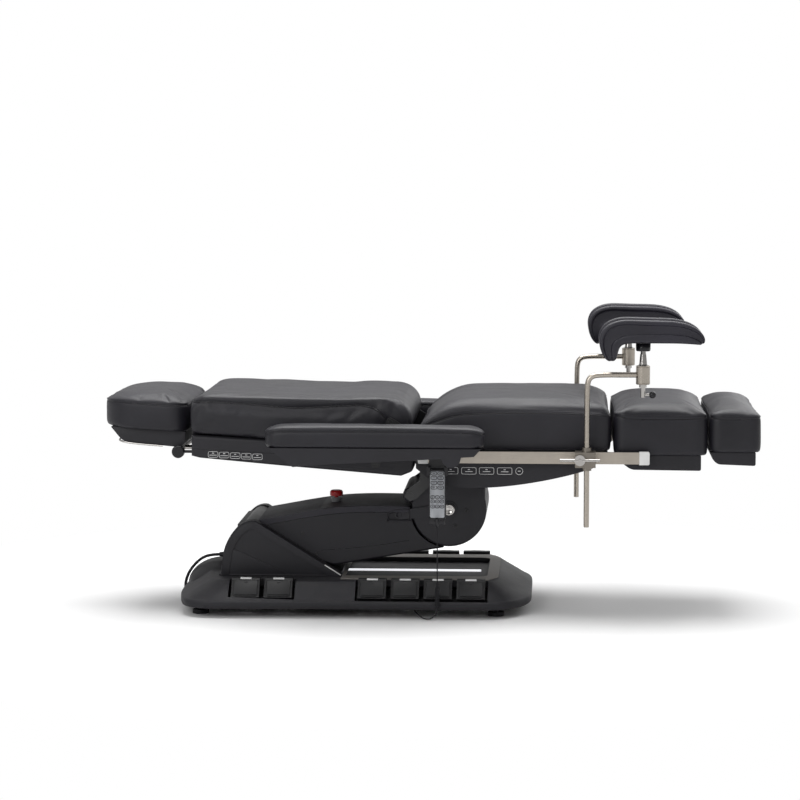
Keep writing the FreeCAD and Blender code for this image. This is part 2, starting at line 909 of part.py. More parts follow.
def arm_cover():
    """The moulded cover of the arm, ended by a hollow arc that follows the lift head."""
    pivot_x, pivot_z = S.lift_pivot_x, S.lift_pivot_z
    body = new_body("arm_cover")
    outline = arm_cover_outline()
    pad(
        body, "XZ", [outline], -S.arm_half_width - S.plate_thickness, S.arm_half_width + S.plate_thickness
    )
    round_edges(body, 30, along("Y", [outline[2]]))
    for edge_y in (S.arm_half_width + S.plate_thickness, -S.arm_half_width - S.plate_thickness):
        round_edges(body, 6, at_level("Y", edge_y))
    inside = [
        (pivot_x - 60, pivot_z - 80),
        (pivot_x + 60, pivot_z - 70),
        (S.stop_x + 6, S.head_pivot_z - 163),
        (S.head_pivot_x + 20, S.head_pivot_z - 104),
        (S.head_pivot_x + 20, S.head_pivot_z),
        (S.head_pivot_x - 262, S.head_pivot_z + 2),
        (S.head_pivot_x - 372, S.head_pivot_z - 5),
        (pivot_x + 20, pivot_z + 18),
        (pivot_x - 60, pivot_z + 8),
    ]
    hollow = S.arm_half_width - S.arm_wall
    pocket(body, "XZ", [inside], -hollow, hollow)
    sleeve = ((pivot_x, pivot_z), S.beam_half_height + S.running_gap)
    reach = S.arm_half_width + S.plate_thickness + 5
    pocket(body, "XZ", [sleeve], -reach, reach)
    head_arc = ((S.head_pivot_x, S.head_pivot_z), S.head_radius + 3.5)
    pocket(body, "XZ", [head_arc], -reach, reach)
    boss = ((S.head_pivot_x - 152, S.head_pivot_z - 16), Size("0", 0) + 13.3)
    pocket(body, "XZ", [boss], -S.arm_half_width - 1, S.arm_half_width + 1)
    recess = [
        (S.head_pivot_x - 186, S.head_pivot_z - 36),
        (S.head_pivot_x - 80, S.head_pivot_z - 36),
        (S.head_pivot_x - 80, S.head_pivot_z + 4),
        (S.head_pivot_x - 160, S.head_pivot_z + 1),
        (S.head_pivot_x - 186, S.head_pivot_z - 16),
    ]
    for _, side in SIDES:
        low, high = y_range(S.arm_half_width, S.arm_half_width + S.plate_thickness + 2, side)
        pocket(body, "XZ", [recess], low, high)
    stem = ((S.stop_x, Size("0", 0)), Size("0", 0) + 14)
    pocket(body, "XY", [stem], S.head_pivot_z - 30, S.head_pivot_z + 40)
    return finish_node("arm_cover", body)


def arm_side_plates():
    """The two links that carry the lift head outside the cover, with their pivot rings."""
    boss = (S.head_pivot_x - 152, S.head_pivot_z - 16)
    pieces = []
    for name, side in SIDES:
        body = new_body("side_plate_" + name)
        low, high = y_range(S.arm_half_width + 0.8, S.arm_half_width + S.plate_thickness + 0.8, side)
        bar = [
            (boss[0], boss[1] - 15),
            (S.head_pivot_x, S.head_pivot_z - 19),
            (S.head_pivot_x, S.head_pivot_z + 19),
            (boss[0], boss[1] + 12),
        ]
        pad(body, "XZ", [bar], low, high)
        pad(body, "XZ", [((S.head_pivot_x, S.head_pivot_z), Size("0", 0) + 24)], low, high)
        ring_low, ring_high = y_range(
            S.arm_half_width + 3, S.arm_half_width + S.plate_thickness + 5, side
        )
        pad(body, "XZ", [((S.head_pivot_x, S.head_pivot_z), Size("0", 0) + 19)], ring_low, ring_high)
        pin_low, pin_high = y_range(S.arm_half_width - 30, S.arm_half_width + 4, side)
        pad(body, "XZ", [((S.head_pivot_x, S.head_pivot_z), S.shaft_radius - 3)], pin_low, pin_high)
        pieces.append(body)
    return finish_node("arm_side_plates", group("arm_side_plates", pieces))


def emergency_stop():
    """A mushroom button in a grey collar on top of the arm."""
    zero = Size("0", 0)
    floor = S.head_pivot_z + 1.6
    collar = rod("collar_outside", "Z", (S.stop_x, zero, floor - 12), zero + 13.6, zero + 24)
    flange = rod("collar_flange", "Z", (S.stop_x, zero, floor + 8), zero + 17, zero + 6)
    bore = rod("collar_bore", "Z", (S.stop_x, zero, floor - 13), zero + 6.5, zero + 40)
    finish_node("stop_collar", cut("stop_collar", fuse("collar_body", [collar, flange]), [bore]))
    body = new_body("stop_button")
    low = floor + 14 + S.stop_throw + 0.6
    pad(body, "XY", [((S.stop_x, zero), S.stop_radius)], low, low + 17)
    round_edges(body, 8, at_level("Z", low + 17))
    pad(body, "XY", [((S.stop_x, zero), zero + 6)], floor - 6, low + 2)
    return finish_node("stop_button", body)


def level_link():
    """The bar parallel to the arm that keeps the lift head level."""
    body = new_body("level_link")
    near_eye = (S.lift_pivot_x, S.lift_pivot_z - S.link_drop)
    far_eye = (S.head_pivot_x, S.head_pivot_z - S.link_drop)
    low, high = Size("0", 0) - 9, Size("0", 0) + 9
    bar = [
        (near_eye[0], near_eye[1] - 11),
        (far_eye[0], far_eye[1] - 11),
        (far_eye[0], far_eye[1] + 11),
        (near_eye[0], near_eye[1] + 11),
    ]
    pad(body, "XZ", [bar], low, high)
    for eye in (near_eye, far_eye):
        pad(body, "XZ", [(eye, S.pin_radius + 10)], low, high)
    for eye in (near_eye, far_eye):
        pocket(body, "XZ", [(eye, S.pin_radius + S.running_gap)], low - 2, high + 2)
    return finish_node("level_link", body)


def lift_head():
    """The rounded knuckle under the seat, with the tilt barrel at its upper corner."""
    zero = Size("0", 0)
    body = new_body("lift_head")
    centre = (S.head_pivot_x, S.head_pivot_z)
    half = S.arm_half_width
    top = S.bulge_bottom - 2.5
    pad(body, "XZ", [(centre, S.head_radius)], -half, half)
    upper = rectangle(
        S.head_pivot_x - S.head_radius + 14, S.head_pivot_x + S.head_radius - 4, S.head_pivot_z, top
    )
    pad(body, "XZ", [upper], -half, half)
    pad(body, "XZ", [((S.tilt_x, S.tilt_z), zero + 22)], -half, half)
    for level in (half, -half):
        round_edges(body, 7, at_level("Y", level))
    above = rectangle(S.tilt_x - 60, S.head_pivot_x + S.head_radius + 10, top, top + 60)
    pocket(body, "XZ", [above], -half - 5, half + 5)
    for _, side in SIDES:
        low, high = y_range(half - 34, half + 1, side)
        pocket(body, "XZ", [(centre, S.shaft_radius - 3 + S.running_gap)], low, high)
    link_eye = (S.head_pivot_x, S.head_pivot_z - S.link_drop)
    fan = [
        (link_eye[0] + 24, link_eye[1] - 24),
        (link_eye[0] + 24, link_eye[1] + 24),
        (link_eye[0] - 2, link_eye[1] + 24),
        (link_eye[0] - 150, link_eye[1] + 20),
        (link_eye[0] - 150, link_eye[1] - 190),
        (link_eye[0] - 118, link_eye[1] - 190),
    ]
    pocket(body, "XZ", [fan], zero - 14, zero + 14)
    pad(body, "XZ", [(link_eye, S.pin_radius)], zero - 18, zero + 18)
    pocket(body, "XZ", [((S.tilt_x, S.tilt_z), S.pin_radius + 2 + S.running_gap)], -half - 10, half + 10)
    return finish_node("lift_head", body)


# Seat

def seat_frame():
    """The seat weldment: ring, tilt ears, accessory rails on standoffs and hinge plates."""
    zero = Size("0", 0)
    low = S.frame_low
    high = S.seat_bottom - 0.3
    outside = box(
        "ring_outside",
        S.seat_left + 4,
        S.seat_right - 10,
        -S.shroud_half_width,
        S.shroud_half_width,
        low,
        high,
    )
    holes = []
    for index, (left, right) in enumerate(((30, 240), (280, 480))):
        holes.append(
            box(
                f"ring_hole_{index}",
                S.seat_left + left,
                S.seat_left + right,
                -S.shroud_half_width + 45,
                S.shroud_half_width - 45,
                low - 2,
                high + 2,
            ),
        )
    ring = cut("seat_ring", outside, holes)
    pieces = [ring]
    tilt_pin = rod(
        "tilt_pin",
        "Y",
        (S.tilt_x, -S.arm_half_width - 12, S.tilt_z),
        S.pin_radius + 2,
        S.arm_half_width * 2 + 24,
    )
    pieces.append(tilt_pin)
    for name, side in SIDES:
        ear = new_body("tilt_ear_" + name)
        inner, outer = y_range(S.arm_half_width + 2, S.arm_half_width + 11, side)
        profile = [
            (S.tilt_x - 16, S.tilt_z - 4),
            (S.tilt_x, S.tilt_z - 18),
            (S.tilt_x + 20, S.tilt_z - 10),
            (S.tilt_x + 76, S.tilt_z + 44),
            (S.tilt_x + 76, low + 4),
            (S.tilt_x + 30, low + 4),
            (S.tilt_x + 30, S.tilt_z + 44),
            (S.tilt_x - 8, S.tilt_z + 16),
        ]
        pad(ear, "XZ", [profile], inner, outer)
        pieces.append(ear)
        inner, outer = y_range(S.rail_outer - S.rail_thickness, S.rail_outer, side)
        pieces.append(
            box(
                "rail_" + name, zero, zero + S.rail_length, inner, outer, low - 2, low - 2 + S.rail_height
            ),
        )
        start = mirrored(S.shroud_half_width - 8, 1) if side > 0 else -S.rail_outer + 1
        for index, place in enumerate((60, 250, 440)):
            pieces.append(
                rod(
                    f"standoff_{name}_{index}",
                    "Y",
                    (zero + place, start, low + 15.5),
                    zero + 7.5,
                    S.rail_outer - S.shroud_half_width + 7,
                ),
            )
        plate = new_body("hinge_plate_" + name)
        inner, outer = y_range(S.cushion_half_width + 4, S.cushion_half_width + 10, side)
        arm = [
            (S.back_pivot_x - 11, S.back_pivot_z - 4),
            (S.back_pivot_x, S.back_pivot_z - 13),
            (S.seat_left - 26, low + 2),
            (S.seat_left + 70, low + 2),
            (S.seat_left + 70, high),
            (S.back_pivot_x + 12, S.back_pivot_z + 6),
            (S.back_pivot_x, S.back_pivot_z + 12),
            (S.back_pivot_x - 10, S.back_pivot_z + 7),
        ]
        pad(plate, "XZ", [arm], inner, outer)
        bore = ((S.back_pivot_x, S.back_pivot_z), S.pin_radius - 2 + S.running_gap)
        pocket(plate, "XZ", [bore], inner - 1, outer + 1)
        pieces.append(plate)
        inner, outer = y_range(S.shroud_half_width - 8, S.cushion_half_width + 8, side)
        pieces.append(
            box("plate_foot_" + name, S.seat_left + 30, S.seat_left + 64, inner, outer, low + 3, high - 3)
        )
        inner, outer = y_range(S.rail_outer - 4, S.armrest_inner + 22, side)
        length = outer - inner
        pieces.append(
            rod(
                "armrest_pin_" + name,
                "Y",
                (S.armrest_pivot_x, inner, S.armrest_pivot_z),
                zero + 9,
                length,
            ),
        )
        inner, outer = y_range(S.shroud_half_width - 40, S.shroud_half_width, side)
        pieces.append(
            box(
                "leg_lug_" + name,
                S.leg_pivot_x - 20,
                S.leg_pivot_x,
                inner,
                outer,
                S.leg_pivot_z - 10,
                S.leg_pivot_z + 10,
            ),
        )
        pieces.append(
            rod("leg_eye_" + name, "Y", (S.leg_pivot_x, inner, S.leg_pivot_z), zero + 10, outer - inner)
        )
    whole = fuse("seat_weldment", pieces)
    bore = rod(
        "leg_bore",
        "Y",
        (S.leg_pivot_x, -S.shroud_half_width - 5, S.leg_pivot_z),
        S.pin_radius - 2 + S.running_gap,
        S.shroud_half_width * 2 + 10,
    )
    return finish_node("seat_frame", cut("seat_frame", whole, [bore]))


def rail_end_caps():
    """White caps pushed on the ends of both rails."""
    zero = Size("0", 0)
    pieces = []
    for name, side in SIDES:
        inner, outer = y_range(S.rail_outer - S.rail_thickness - 2, S.rail_outer + 2, side)
        for end, start in (("head", -S.cap_length), ("foot", zero + S.rail_length)):
            body = new_body(f"cap_{name}_{end}")
            left = start
            outline = rectangle(left, left + S.cap_length, S.frame_low - 4, S.frame_low + S.rail_height)
            pad(body, "XZ", [outline], inner, outer)
            corner = left if end == "head" else left + S.cap_length
            round_edges(
                body, 5, along("Y", [(corner, S.frame_low - 4), (corner, S.frame_low + S.rail_height)])
            )
            pieces.append(body)
    return finish_node("rail_end_caps", group("rail_end_caps", pieces))


def seat_shroud():
    """The moulded pan under the seat with its deep middle."""
    zero = Size("0", 0)
    body = new_body("seat_shroud")
    top = S.frame_low - 0.3
    side = [
        (S.seat_left - 8, top),
        (S.seat_left - 8, top - 22),
        (S.seat_left + 26, top - 44),
        (S.seat_left + 330, top - 44),
        (S.seat_right - 72, top - 31),
        (S.seat_right - 50, top - 12),
        (S.seat_right - 50, top),
    ]
    half = S.shroud_half_width
    pad(body, "XZ", [side], -half, half)
    deep = [
        (S.seat_left + 34, top - 40),
        (S.seat_left + 50, S.bulge_bottom),
        (S.seat_left + 210, S.bulge_bottom),
        (S.seat_left + 250, top - 40),
    ]
    pad(body, "XZ", [deep], -S.arm_half_width, S.arm_half_width)
    for level in (half, -half):
        round_edges(body, 6, at_level("Y", level, ceiling=top - 13))
    inside = [
        (S.seat_left + 20, top + 5),
        (S.seat_left + 20, top - 20),
        (S.seat_left + 32, top - 40),
        (S.seat_left + 325, top - 40),
        (S.seat_right - 76, top - 27),
        (S.seat_right - 60, top + 5),
    ]
    pocket(body, "XZ", [inside], -half + S.shroud_wall, half - S.shroud_wall)
    deep_inside = [
        (S.seat_left + 42, top - 38),
        (S.seat_left + 54, S.bulge_bottom + 4),
        (S.seat_left + 206, S.bulge_bottom + 4),
        (S.seat_left + 242, top - 38),
    ]
    pocket(body, "XZ", [deep_inside], -S.arm_half_width + 5, S.arm_half_width - 5)
    for _, sign in SIDES:
        low, high = y_range(S.arm_half_width + 0.6, S.arm_half_width + 13, sign)
        pocket(body, "XZ", [rectangle(S.seat_left - 12, S.seat_left + 50, top - 60, top + 5)], low, high)
    return finish_node("seat_shroud", body)


def seat_cushion():
    """The seat pad, cut away at its head end for the roll of the back."""
    body = new_body("seat_cushion")
    outline = [
        (S.seat_left, S.seat_bottom),
        (S.seat_right, S.seat_bottom),
        (S.seat_right, S.seat_top),
        (S.seat_left + 92, S.seat_top),
        (S.seat_left + 4, S.seat_bottom + 76),
        (S.seat_left, S.seat_bottom + 70),
    ]
    half = S.cushion_half_width
    pad(body, "XZ", [outline], -half, half)
    round_edges(body, 44, along("Y", [outline[2]]))
    round_edges(body, 60, along("Y", [outline[3]]))
    return finish_node("seat_cushion", body)


def handset_parts():
    """The holder that hooks over the rail, and the handset that lifts out of it."""
    zero = Size("0", 0)
    left = S.handset_x - S.handset_width / 2
    right = S.handset_x + S.handset_width / 2
    rail_top = S.frame_low - 2 + S.rail_height
    holder = new_body("handset_holder")
    face = -S.rail_outer - 0.4
    hook = [
        (face, S.frame_low - 30),
        (face, rail_top + 0.4),
        (-S.rail_outer + S.rail_thickness + 0.4, rail_top + 0.4),
        (-S.rail_outer + S.rail_thickness + 0.4, rail_top - 8),
        (-S.rail_outer + S.rail_thickness + 3, rail_top - 8),
        (-S.rail_outer + S.rail_thickness + 3, rail_top + 3.4),
        (face - 6, rail_top + 3.4),
        (face - 6, S.frame_low - 30),
    ]
    pad(holder, "YZ", [hook], left - 1, right + 1)
    back = -S.handset_y + S.handset_depth / 2
    tray = [
        (back - 30, S.frame_low - 34),
        (back - 30, S.frame_low - 10),
        (face - 2, S.frame_low - 10),
        (face - 2, S.frame_low - 34),
    ]
    pad(holder, "YZ", [tray], left - 6, right + 6)
    slot = [
        (back - 26, S.frame_low - 40),
        (back - 26, S.frame_low),
        (back + 0.5, S.frame_low),
        (back + 0.5, S.frame_low - 40),
    ]
    pocket(holder, "YZ", [slot], left - 0.5, right + 0.5)
    front = [
        (back - 40, S.frame_low - 40),
        (back - 40, S.frame_low),
        (back - 10, S.frame_low),
        (back - 10, S.frame_low - 40),
    ]
    pocket(holder, "YZ", [front], left + 4, right - 4)
    finish_node("handset_holder", holder)

    handset = new_body("handset")
    top = S.handset_bottom + S.handset_height
    face_outline = rectangle(left + 1, right - 1, S.handset_bottom, top)
    pad(
        handset,
        "XZ",
        [face_outline],
        -S.handset_y - S.handset_depth / 2,
        -S.handset_y + S.handset_depth / 2,
    )
    corners = [
        (left + 1, S.handset_bottom), (right - 1, S.handset_bottom), (left + 1, top), (right - 1, top)
    ]
    round_edges(handset, 7, along("Y", corners))
    stem = ((S.handset_x, -S.handset_cord_y), S.handset_cord_diameter / 2 + 3)
    pad(handset, "XY", [stem], S.handset_bottom - 24, S.handset_bottom + 4)
    return finish_node("handset", handset)


def handset_cord():
    """The lead below the handset: straight, a curly stretch and a turn under the skirt."""
    x = number(S.handset_x)
    y = -number(S.handset_cord_y)
    thin = number(S.handset_cord_diameter)
    fat = number(S.curl_diameter)
    exit_z = number(S.handset_bottom) - 24
    curl_top = 104
    curl_low = 38
    straight = Part.makeCylinder(thin / 2, exit_z - curl_top, Vector(x, y, curl_top))
    curl = Part.makeCylinder(fat / 2, curl_top - curl_low, Vector(x, y, curl_low))
    guide_bottom = number(S.rim_height) - 12
    tail_route = [
        (x, y, curl_low),
        (x - 3, y, 20),
        (x - 14, y - 3, 6.5),
        (x - 31, y + 2, 3),
        (x - 47, y + 14, 6),
        (x - 61, y + 32, 14),
        (x - 72, y + 48, 25),
        (x - 78, y + 56, guide_bottom - 2),
    ]
    tail, _ = cord_shape(tail_route, thin)
    item = doc.addObject("Part::Feature", "handset_cord")
    item.Shape = Part.makeCompound([straight, curl, tail])
    return finish_node("handset_cord", item)


def back_parts():
    """The back: its frame with hinge plates, the long shroud and the cushion."""
    zero = Size("0", 0)
    pivot_x, pivot_z = S.back_pivot_x, S.back_pivot_z
    tube_z = pivot_z - 124
    pieces = [
        rod(
            "back_tube",
            "Y",
            (pivot_x - 44, -S.cushion_half_width - 3.3, tube_z),
            zero + 10,
            S.cushion_half_width * 2 + 6.6,
        ),
    ]
    spine = new_body("back_spine")
    strip = [
        (S.back_left + 60, tube_z + 34),
        (pivot_x - 44, tube_z - 4),
        (pivot_x - 44, tube_z + 6),
        (S.back_left + 60, tube_z + 44),
    ]
    pad(spine, "XZ", [strip], zero - 90, zero + 90)
    pieces.append(spine)
    for name, side in SIDES:
        plate = new_body("back_plate_" + name)
        inner, outer = y_range(S.cushion_half_width + 0.4, S.cushion_half_width + 3.4, side)
        outline = [
            (pivot_x - 12, pivot_z + 4),
            (pivot_x - 58, tube_z + 4),
            (pivot_x - 54, tube_z - 13),
            (pivot_x - 34, tube_z - 13),
            (pivot_x + 12, pivot_z - 4),
            (pivot_x + 8, pivot_z + 9),
            (pivot_x - 6, pivot_z + 11),
        ]
        pad(plate, "XZ", [outline], inner, outer)
        inner, outer = y_range(S.cushion_half_width + 1, S.cushion_half_width + 12, side)
        pad(plate, "XZ", [((pivot_x, pivot_z), S.pin_radius - 2)], inner, outer)
        pieces.append(plate)
    finish_node("back_frame", fuse("back_frame", pieces))

    shroud = new_body("back_shroud")
    half = S.shroud_half_width
    outline = [
        (S.back_left + 6, pivot_z - 45),
        (S.back_left + 6, pivot_z - 108),
        (S.back_left + 30, pivot_z - 114),
        (S.back_left + 300, pivot_z - 138),
        (pivot_x + 30, pivot_z - 164),
        (pivot_x + 66, pivot_z - 150),
        (pivot_x + 71, pivot_z - 96),
        (pivot_x + 56, pivot_z - 86),
        (pivot_x - 200, pivot_z - 66),
    ]
    pad(shroud, "XZ", [outline], -half, half)
    round_edges(shroud, 18, along("Y", [outline[5], outline[6]]))
    round_edges(shroud, 10, either(at_level("Y", half), at_level("Y", -half)))
    inside = [
        (S.back_left + 34, tube_z - 12 + 24),
        (S.back_left + 34, tube_z + 22),
        (S.back_left + 200, tube_z - 2),
        (pivot_x + 40, tube_z - 28),
        (pivot_x + 60, tube_z - 14),
        (pivot_x + 60, tube_z + 14),
        (pivot_x - 40, tube_z + 30),
        (S.back_left + 60, tube_z + 60),
        (S.back_left + 34, tube_z + 60),
    ]
    pocket(shroud, "XZ", [inside], -half + S.shroud_wall, half - S.shroud_wall)
    bore = ((pivot_x - 44, tube_z), zero + 10.3)
    pocket(shroud, "XZ", [bore], -half - 5, half + 5)
    for _, side in SIDES:
        hole = ((mirrored(S.bar_spread, side), S.head_tilt_z), S.bar_radius + S.running_gap)
        pocket(shroud, "YZ", [hole], S.back_left - 5, S.head_tilt_x + S.bar_length + 12)
    finish_node("back_shroud", shroud)

    cushion = new_body("back_cushion")
    outline = [
        (S.back_left, pivot_z - 42),
        (pivot_x - 210, pivot_z - 60),
        (pivot_x - 20, pivot_z - 78),
        (pivot_x + 30, pivot_z - 58),
        (pivot_x, pivot_z),
        (pivot_x, pivot_z + S.nose_radius),
        (S.back_left, S.back_top),
    ]
    pad(cushion, "XZ", [outline], -S.cushion_half_width, S.cushion_half_width)
    pad(cushion, "XZ", [((pivot_x, pivot_z), S.nose_radius)], -S.cushion_half_width, S.cushion_half_width)
    return finish_node("back_cushion", cushion)


def head_rest():
    """Slide bars with the tilt axle, the shroud with its hook bar, the pad and the knob."""
    zero = Size("0", 0)
    tilt_x, tilt_z = S.head_tilt_x, S.head_tilt_z
    pieces = []
    for name, side in SIDES:
        start = (tilt_x, mirrored(S.bar_spread, side), tilt_z)
        pieces.append(rod("slide_bar_" + name, "X", start, S.bar_radius, S.bar_length))
    pieces.append(
        rod(
            "tilt_axle",
            "Y",
            (tilt_x, -S.cushion_half_width * 0.7 - 20, tilt_z),
            S.bar_radius,
            S.cushion_half_width * 0.7 + S.bar_spread + 50,
        ),
    )
    finish_node("head_slide", fuse("head_slide", pieces))

    body = new_body("head_shroud_shell")
    low = S.head_low - 51
    outline = [
        (S.head_left + 34, S.head_low - 0.3),
        (S.head_left + 70, low),
        (tilt_x - 28, low),
        (tilt_x + 20, low + 14),
        (tilt_x + 20, S.head_low - 0.3),
    ]
    half = S.cushion_half_width * 0.7
    pad(body, "XZ", [outline], -half, half)
    round_edges(body, 8, either(at_level("Y", half), at_level("Y", -half)))
    inside = [
        (S.head_left + 52, S.head_low + 5),
        (S.head_left + 74, low + 4),
        (tilt_x - 30, low + 4),
        (tilt_x + 16, low + 18),
        (tilt_x + 16, S.head_low + 5),
    ]
    pocket(body, "XZ", [inside], -half + S.shroud_wall, half - S.shroud_wall)
    clips = []
    for name, side in SIDES:
        inner, outer = y_range(S.bar_spread + 12, S.bar_spread + 26, side)
        clip = box("tilt_clip_" + name, tilt_x - 14, tilt_x + 14, inner, outer, tilt_z - 14, low + 20)
        clips.append(clip)
    whole = fuse("head_shroud_whole", [body] + clips)
    bore = rod("tilt_bore", "Y", (tilt_x, -half, tilt_z), S.bar_radius + S.running_gap, half * 2)
    bar_slots = []
    for name, side in SIDES:
        inner, outer = y_range(S.bar_spread - 10, S.bar_spread + 10, side)
        bar_slots.append(
            box("bar_slot_" + name, tilt_x - 12, tilt_x + 60, inner, outer, tilt_z - 10, low + 3)
        )
    finish_node("head_shroud", cut("head_shroud", whole, [bore] + bar_slots))

    cushion = new_body("head_cushion")
    plan_half = S.cushion_half_width * 0.8
    plan = rectangle(S.head_left, S.head_right, -plan_half, plan_half)
    pad(cushion, "XY", [plan], S.head_low, S.head_top)
    round_edges(cushion, 80, along("Z", [(S.head_left, plan_half), (S.head_left, -plan_half)]))
    round_edges(cushion, 26, at_level("Z", S.head_top))
    finish_node("head_cushion", cushion)

    knob = new_body("head_knob")
    outer = -S.cushion_half_width * 0.7 - 4
    pad(knob, "XZ", [((tilt_x, tilt_z), S.knob_radius)], outer - 22, outer)
    round_edges(knob, 4, at_level("Y", outer - 22))
    lever = rectangle(tilt_x + 6, tilt_x + 43, tilt_z - 4, tilt_z + 4)
    pad(knob, "XZ", [lever], outer - 9, outer - 2)
    pocket(knob, "XZ", [((tilt_x, tilt_z), S.bar_radius + S.running_gap)], outer - 18, outer + 2)
    return finish_node("head_knob", knob)


def leg_and_foot():
    """Two hinged sections, each a pad on a shroud; the leg shroud carries both hinge pins."""
    zero = Size("0", 0)
    half = S.cushion_half_width
    for name, left, right, top, low in (
        ("leg", S.leg_left, S.leg_right, S.leg_top, S.leg_bottom),
        ("foot", S.foot_left, S.foot_right, S.foot_top, S.leg_bottom + 10),
    ):
        cushion = new_body(name + "_cushion")
        outline = rectangle(left, right, low, top)
        pad(cushion, "XZ", [outline], -half, half)
        round_edges(cushion, 34, along("Y", [(left, top), (right, top)]))
        finish_node(name + "_cushion", cushion)

    low = S.leg_pivot_z - 26
    top = S.leg_bottom - 0.3
    leg = new_body("leg_shroud_pan")
    outline = [
        (S.leg_left + 26, top),
        (S.leg_left + 26, top - 18),
        (S.leg_left + 44, low),
        (S.leg_right - 30, low),
        (S.leg_right - 17, top - 20),
        (S.leg_right - 17, top),
    ]
    pad(leg, "XZ", [outline], -S.shroud_half_width, S.shroud_half_width)
    round_edges(leg, 8, either(at_level("Y", S.shroud_half_width), at_level("Y", -S.shroud_half_width)))
    inside = rectangle(S.leg_left + 50, S.leg_right - 34, low + 4, top + 5)
    pocket(leg, "XZ", [inside], -S.shroud_half_width + 4, S.shroud_half_width - 4)
    pieces = [leg]
    hinge_y = S.shroud_half_width - 46
    for name, side in SIDES:
        inner, outer = y_range(hinge_y - 10, hinge_y, side)
        pieces.append(
            box(
                "leg_arm_" + name,
                S.leg_pivot_x - 8,
                S.leg_left + 60,
                inner,
                outer,
                S.leg_pivot_z - 9,
                top - 1,
            ),
        )
        inner, outer = y_range(hinge_y - 6, S.shroud_half_width + 6, side)
        pieces.append(
            rod(
                "leg_pin_" + name,
                "Y",
                (S.leg_pivot_x, inner, S.leg_pivot_z),
                S.pin_radius - 2,
                outer - inner,
            ),
        )
        inner, outer = y_range(hinge_y - 20, hinge_y - 10.6, side)
        pieces.append(
            box(
                "foot_lug_" + name,
                S.leg_right - 40,
                S.foot_pivot_x + 10,
                inner,
                outer,
                S.foot_pivot_z - 8,
                top,
            ),
        )
        inner, outer = y_range(hinge_y - 20, hinge_y + 6, side)
        pieces.append(
            rod(
                "foot_pin_" + name,
                "Y",
                (S.foot_pivot_x, inner, S.foot_pivot_z),
                S.pin_radius - 3,
                outer - inner,
            ),
        )
    finish_node("leg_shroud", fuse("leg_shroud", pieces))

    foot = new_body("foot_shroud_pan")
    top = S.leg_bottom + 9.7
    low = S.foot_pivot_z - 23
    outline = [
        (S.foot_left + 12, top),
        (S.foot_left + 12, top - 14),
        (S.foot_left + 34, low),
        (S.foot_right - 42, low),
        (S.foot_right - 20, low + 16),
        (S.foot_right - 20, top),
    ]
    pad(foot, "XZ", [outline], -S.shroud_half_width, S.shroud_half_width)
    round_edges(foot, 8, either(at_level("Y", S.shroud_half_width), at_level("Y", -S.shroud_half_width)))
    inside = rectangle(S.foot_left + 40, S.foot_right - 46, low + 4, top + 5)
    pocket(foot, "XZ", [inside], -S.shroud_half_width + 4, S.shroud_half_width - 4)
    pieces = [foot]
    for name, side in SIDES:
        inner, outer = y_range(hinge_y - 9.8, hinge_y, side)
        pieces.append(
            box(
                "foot_arm_" + name,
                S.foot_pivot_x - 6.5,
                S.foot_left + 44,
                inner,
                outer,
                S.foot_pivot_z - 8,
                S.foot_pivot_z + 6.5,
            ),
        )
    whole = fuse("foot_whole", pieces)
    bore = rod(
        "foot_bore",
        "Y",
        (S.foot_pivot_x, -half, S.foot_pivot_z),
        S.pin_radius - 3 + S.running_gap,
        half * 2,
    )
    return finish_node("foot_shroud", cut("foot_shroud", whole, [bore]))


def armrests():
    """Folding armrests: a moulded shell with its hinge boss under a long pad."""
    zero = Size("0", 0)
    for name, side in SIDES:
        low, high = y_range(S.armrest_inner, S.armrest_inner + S.armrest_width, side)
        arm_pad = new_body("armrest_pad_" + name)
        plan = rectangle(S.armrest_left, S.armrest_right, low, high)
        pad(arm_pad, "XY", [plan], S.armrest_seam, S.armrest_top)
        round_edges(arm_pad, 40, along("Z"))
        round_edges(arm_pad, 22, at_level("Z", S.armrest_top))
        finish_node("armrest_pad_" + name, arm_pad)

        shell = new_body("armrest_shell_" + name)
        seam = S.armrest_seam - 0.5
        outline = [
            (S.armrest_left + 14, seam),
            (S.armrest_left + 84, seam - 55),
            (S.armrest_left + 180, seam - 47),
            (S.armrest_right - 150, seam - 30),
            (S.armrest_right - 30, seam - 22),
            (S.armrest_right - 10, seam),
        ]
        pad(shell, "XZ", [outline], low + 4, high - 4)
        boss = ((S.armrest_pivot_x, S.armrest_pivot_z), zero + 27)
        pad(shell, "XZ", [boss], low + 4, high - 4)
        above = rectangle(S.armrest_left, S.armrest_right, seam, seam + 60)
        pocket(shell, "XZ", [above], low, high)
        round_edges(shell, 8, along("Y", [outline[1]]))
        inner, outer = y_range(S.armrest_inner + 2, S.armrest_inner + 26, side)
        bore = ((S.armrest_pivot_x, S.armrest_pivot_z), zero + 9 + S.running_gap)
        pocket(shell, "XZ", [bore], inner, outer)
        finish_node("armrest_shell_" + name, shell)


